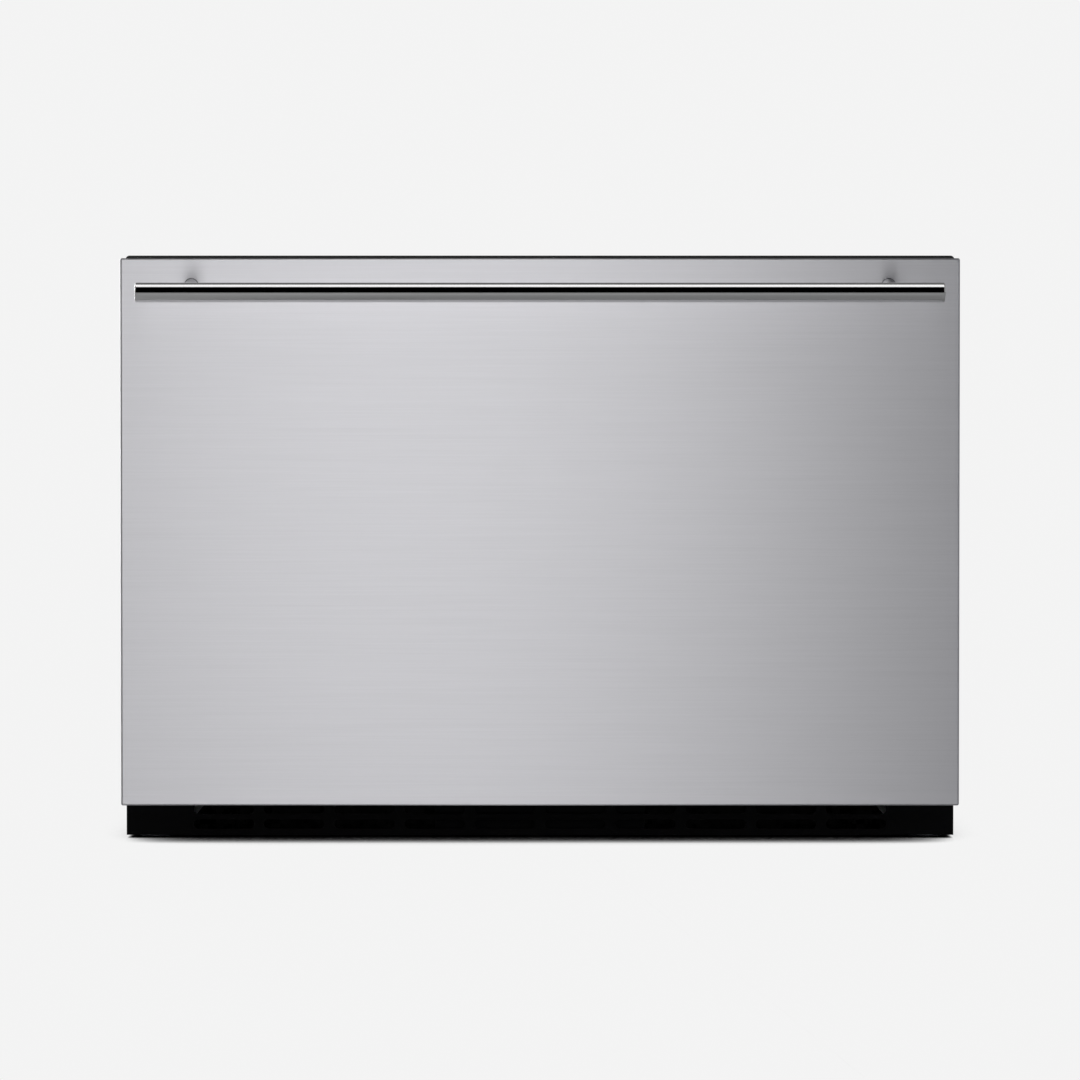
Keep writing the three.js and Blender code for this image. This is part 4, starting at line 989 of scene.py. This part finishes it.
# ---- cold space
def evaporator_cover():
    """A moulded panel with a guarded fan opening, two groups of slots and screws."""
    box = Box("evaporator_cover")
    outlines = [rounded_rectangle(*box.across("Y"), 2), circle(0, FAN_HEIGHT, 40, 64)]
    for sign in (-1, 1):
        for index in range(6):
            x = sign * (114 + 22 * index)
            outlines.append(rounded_rectangle(x - 4, x + 4, 288, 352, 3.9))
    bm = plate(outlines, "Y", box.low.y, box.high.y, 0.4)
    add_fan_guard(bm, box.low.y)
    put("evaporator_panel", bm, LINER, 35, "evaporator_cover")
    places = [(sign * 252, box.low.y, z) for sign in (-1, 1) for z in (280, 374)]
    screws("evaporator_panel_screws", ZINC, places, (0, -1, 0), 3.4, 1.7)


def add_fan_guard(bm, face):
    """Adds three rings and eight spokes round a middle disc, behind a face."""
    section = [(-0.9, 0.9), (0, 0.4), (0.9, 0.9), (0.9, 2), (0, 2.3), (-0.9, 2)]
    for radius in (13, 22, 31):
        rings = [lay(circle(0, FAN_HEIGHT, radius + outward, 64), "Y", face + along)
                 for outward, along in section]
        add_loft(bm, rings + [rings[0]], capped=False)
    spokes = zip(*(arc(0, FAN_HEIGHT, radius, 22.5, 337.5, 7) for radius in (11, 40.5)))
    for ends in spokes:
        add_tube(bm, lay(ends, "Y", face + 1.5), 0.9, smooth=False)
    disc = [(11, 0), (12.5, 0.6), (12.5, 1.6), (11, 2.2)]
    add_lathe(bm, disc, (0, face + 0.1, FAN_HEIGHT), (0, 1, 0), 48)


def lamp():
    """The strip of diodes behind the lamp's lens."""
    dress(LINER, 0.8, "lamp_housing")
    dress(CLEAR, 0.5, "lamp_lens")
    lens = Box("lamp_lens")
    level = lens.high.z + 2
    outline = rounded_rectangle(lens.low.x + 3, lens.high.x - 3, lens.low.y + 12, lens.high.y - 12, 1)
    board = plate([outline], "Z", level, level + 1.6, 0.1, 1)
    diodes = bmesh.new()
    for index in range(8):
        x = (index - 3.5) * 13
        add_box(diodes, (x - 1.7, lens.mid.y - 1.4, level - 0.9), (x + 1.7, lens.mid.y + 1.4, level), 0.3)
    put("lamp_circuit_board", board, BOARD, 40)
    put("lamp_diodes", diodes, CLEAR, 40)


def display():
    """The lit seven-segment digits of the display."""
    dress(BLACK_PLASTIC, 0.7, "control_panel")
    dress(GLASS, 0.3, "control_display")
    box = Box("control_display")
    height, width, stroke = 6, 3.2, 0.7
    # Segments as (centre across, centre up), in shares of half the digit's size; a middle one lies flat.
    zero = [(0, 1), (0, -1), (-1, 0.5), (1, 0.5), (-1, -0.5), (1, -0.5)]
    four = [(-1, 0.5), (1, 0.5), (0, 0), (1, -0.5)]
    digits = bmesh.new()
    for place, lit in ((-3.2, zero), (3.2, four)):
        for across, up in lit:
            x = box.mid.x + place + across * width / 2
            z = box.mid.z + up * height / 2
            half_x, half_z = (stroke / 2, height / 4 - 0.2) if across else (width / 2 - 0.2, stroke / 2)
            outline = rectangle(x - half_x, x + half_x, z - half_z, z + half_z)
            merge(digits, plate([outline], "Y", box.low.y - 0.12, box.low.y + 0.1, 0.03, 1))
    put("display_segments", digits, LIT, 40)


def button(name):
    """A round cap with a dished top."""
    box = Box(name)
    radius, length = box.size.x / 2, box.size.y
    profile = [(0.3, 0.55), (1.6, 0.45), (2.7, 0.15), (3.1, 0), (3.6, 0.15), (radius, 0.7),
               (radius, length - 0.3), (radius - 0.3, length)]
    bm = bmesh.new()
    add_lathe(bm, profile, (box.mid.x, box.low.y, box.mid.z), (0, 1, 0), 40)
    put(name + "_cap", bm, BLACK_PLASTIC, 40, name, body=name)


# ---- stage
def pale(strength):
    return (strength, strength, strength, 1.0)


def stage():
    """A pale floor, and a room that is pale behind the object and dim in front of it."""
    backdrop = 0.900
    world = bpy.data.worlds.new("studio")
    bpy.context.scene.world = world
    world.use_nodes = True
    tree = world.node_tree
    tree.nodes.clear()
    coordinates = add_node(tree, "TexCoord")
    split = add_node(tree, "SeparateXYZ", Vector=coordinates.outputs["Generated"])
    behind = remap(tree, split.outputs["Y"], 0.0, 0.18, -0.25, 0.5)
    beside = remap(tree, arithmetic(tree, "ABSOLUTE", split.outputs["X"]), 0.0, 0.38, 0.42, 0.75)
    room = add_node(tree, "Background", Color=pale(1.0), Strength=arithmetic(tree, "MAXIMUM", behind, beside))
    seen = add_node(tree, "Background", Color=pale(backdrop), Strength=1.0)
    add_node(tree, "OutputWorld", Surface=camera_split(tree, room, seen))

    # The floor glows as bright as the room, apart from where the object stands close over it: there ambient
    # occlusion dims the glow, a painted contact shadow.
    material, tree, shader = new_material("studio_floor")
    shader.inputs["Base Color"].default_value = pale(0.80)
    shader.inputs["Roughness"].default_value = 0.9
    shader.inputs["Specular IOR Level"].default_value = 0.1
    painted_contact_shadow = add_node(tree, "AmbientOcclusion", {"samples": 16}, Distance=0.15)
    floor_glow_with_painted_shadow = remap(tree, painted_contact_shadow.outputs["AO"], 0.0, backdrop, 0.12, 0.56)
    glow = add_node(tree, "Emission", Color=pale(1.0), Strength=floor_glow_with_painted_shadow)
    tree.links.new(camera_split(tree, shader, glow), tree.nodes["Material Output"].inputs["Surface"])
    bm = bmesh.new()
    bmesh.ops.create_circle(bm, cap_ends=True, segments=64, radius=30000.0)
    bmesh.ops.translate(bm, vec=(0, 0, -0.2), verts=bm.verts)
    floor = finish_mesh("floor", bm, material, 35)
    return floor


def camera_split(tree, lighting, seen):
    """One shader for the light that falls on the object, and another for what the camera sees."""
    path = add_node(tree, "LightPath")
    mix = add_node(tree, "MixShader", Fac=path.outputs["Is Camera Ray"])
    tree.links.new(lighting.outputs[0], mix.inputs[1])
    tree.links.new(seen.outputs[0], mix.inputs[2])
    return mix.outputs[0]


def area_light(name, place, aim, size, power, colour=(1, 1, 1)):
    data = bpy.data.lights.new(name, "AREA")
    data.shape = "RECTANGLE"
    data.size, data.size_y = size
    data.energy = power
    data.color = colour
    light = bpy.data.objects.new(name, data)
    light.location = place
    light.rotation_euler = (Vector(aim) - Vector(place)).to_track_quat("-Z", "Y").to_euler()
    light.visible_camera = False
    bpy.context.collection.objects.link(light)
    return light


def link_state(light, pieces, state, role="receiver_collection"):
    """Lets a light fall on, or be blocked by, only some pieces or all but them."""
    group = bpy.data.collections.new(light.name + "_" + role)
    for piece in pieces:
        group.objects.link(piece)
    for member in group.collection_objects:
        member.light_linking.link_state = state
    setattr(light.light_linking, role, group)


def lights(floor, front_panel, handle_pieces):
    posts = handle_pieces[1:]
    apart = [floor, front_panel] + handle_pieces  # these have lights of their own
    key = area_light("key", (-0.17, -2.2, 1.25), (-0.08, -0.26, 0.30), (1.0, 1.2), 7.6)
    link_state(key, handle_pieces, "EXCLUDE")
    link_state(key, handle_pieces, "EXCLUDE", "blocker_collection")
    low = area_light("low", (-0.17, -2.2, -0.40), (-0.12, -0.26, 0.20), (0.98, 1.0), 12.6)
    link_state(low, [front_panel], "INCLUDE")
    link_state(low, posts, "INCLUDE", "blocker_collection")
    fill = area_light("fill", (1.3, -1.9, 0.5), (0.2, -0.26, 0.2), (1.2, 1.6), 3.6, (0.86, 0.93, 1.0))
    link_state(fill, handle_pieces, "EXCLUDE")
    strip = area_light("handle_strip", (0.0, -0.50, 2.05), (0.0, -0.44, 0.4), (2.6, 1.1), 11)
    link_state(strip, handle_pieces, "INCLUDE")
    overhead = area_light("overhead", (0.2, -0.35, 2.3), (0.0, -0.1, 0.2), (1.8, 1.4), 38)
    link_state(overhead, apart, "EXCLUDE")
    area_light("rear", (-0.9, 2.6, 0.62), (0.0, 0.3, 0.2), (2.4, 1.0), 60)
    for side, sign in SIDES:
        light = area_light(side + "_side", (sign * 2.5, 0.5, 1.0), (0.0, 0.1, 0.2), (1.4, 1.4), 22)
        link_state(light, apart, "EXCLUDE")


make_camera()
lights(stage(), drawer_front(), handle())
drawer_liner()
gasket()
bin_tub()
slides()
cabinet()
kick_grille()
back_panel()
rear_cover()
power_inlet()
for leg in ("leg_front_left", "leg_front_right", "leg_rear_left", "leg_rear_right"):
    levelling_leg(leg)
compressor()
relay_cover()
coil("condenser_coil", "Y", "X", rows=7, tube_radius=4.5)
coil("evaporator_coil", "X", "Y", rows=4, tube_radius=4)
fans()
pipework()
drier()
drain()
evaporator_cover()
lamp()
display()
for cap in ("button_power", "button_warmer", "button_colder"):
    button(cap)

bpy.context.scene.view_settings.view_transform = "Standard"
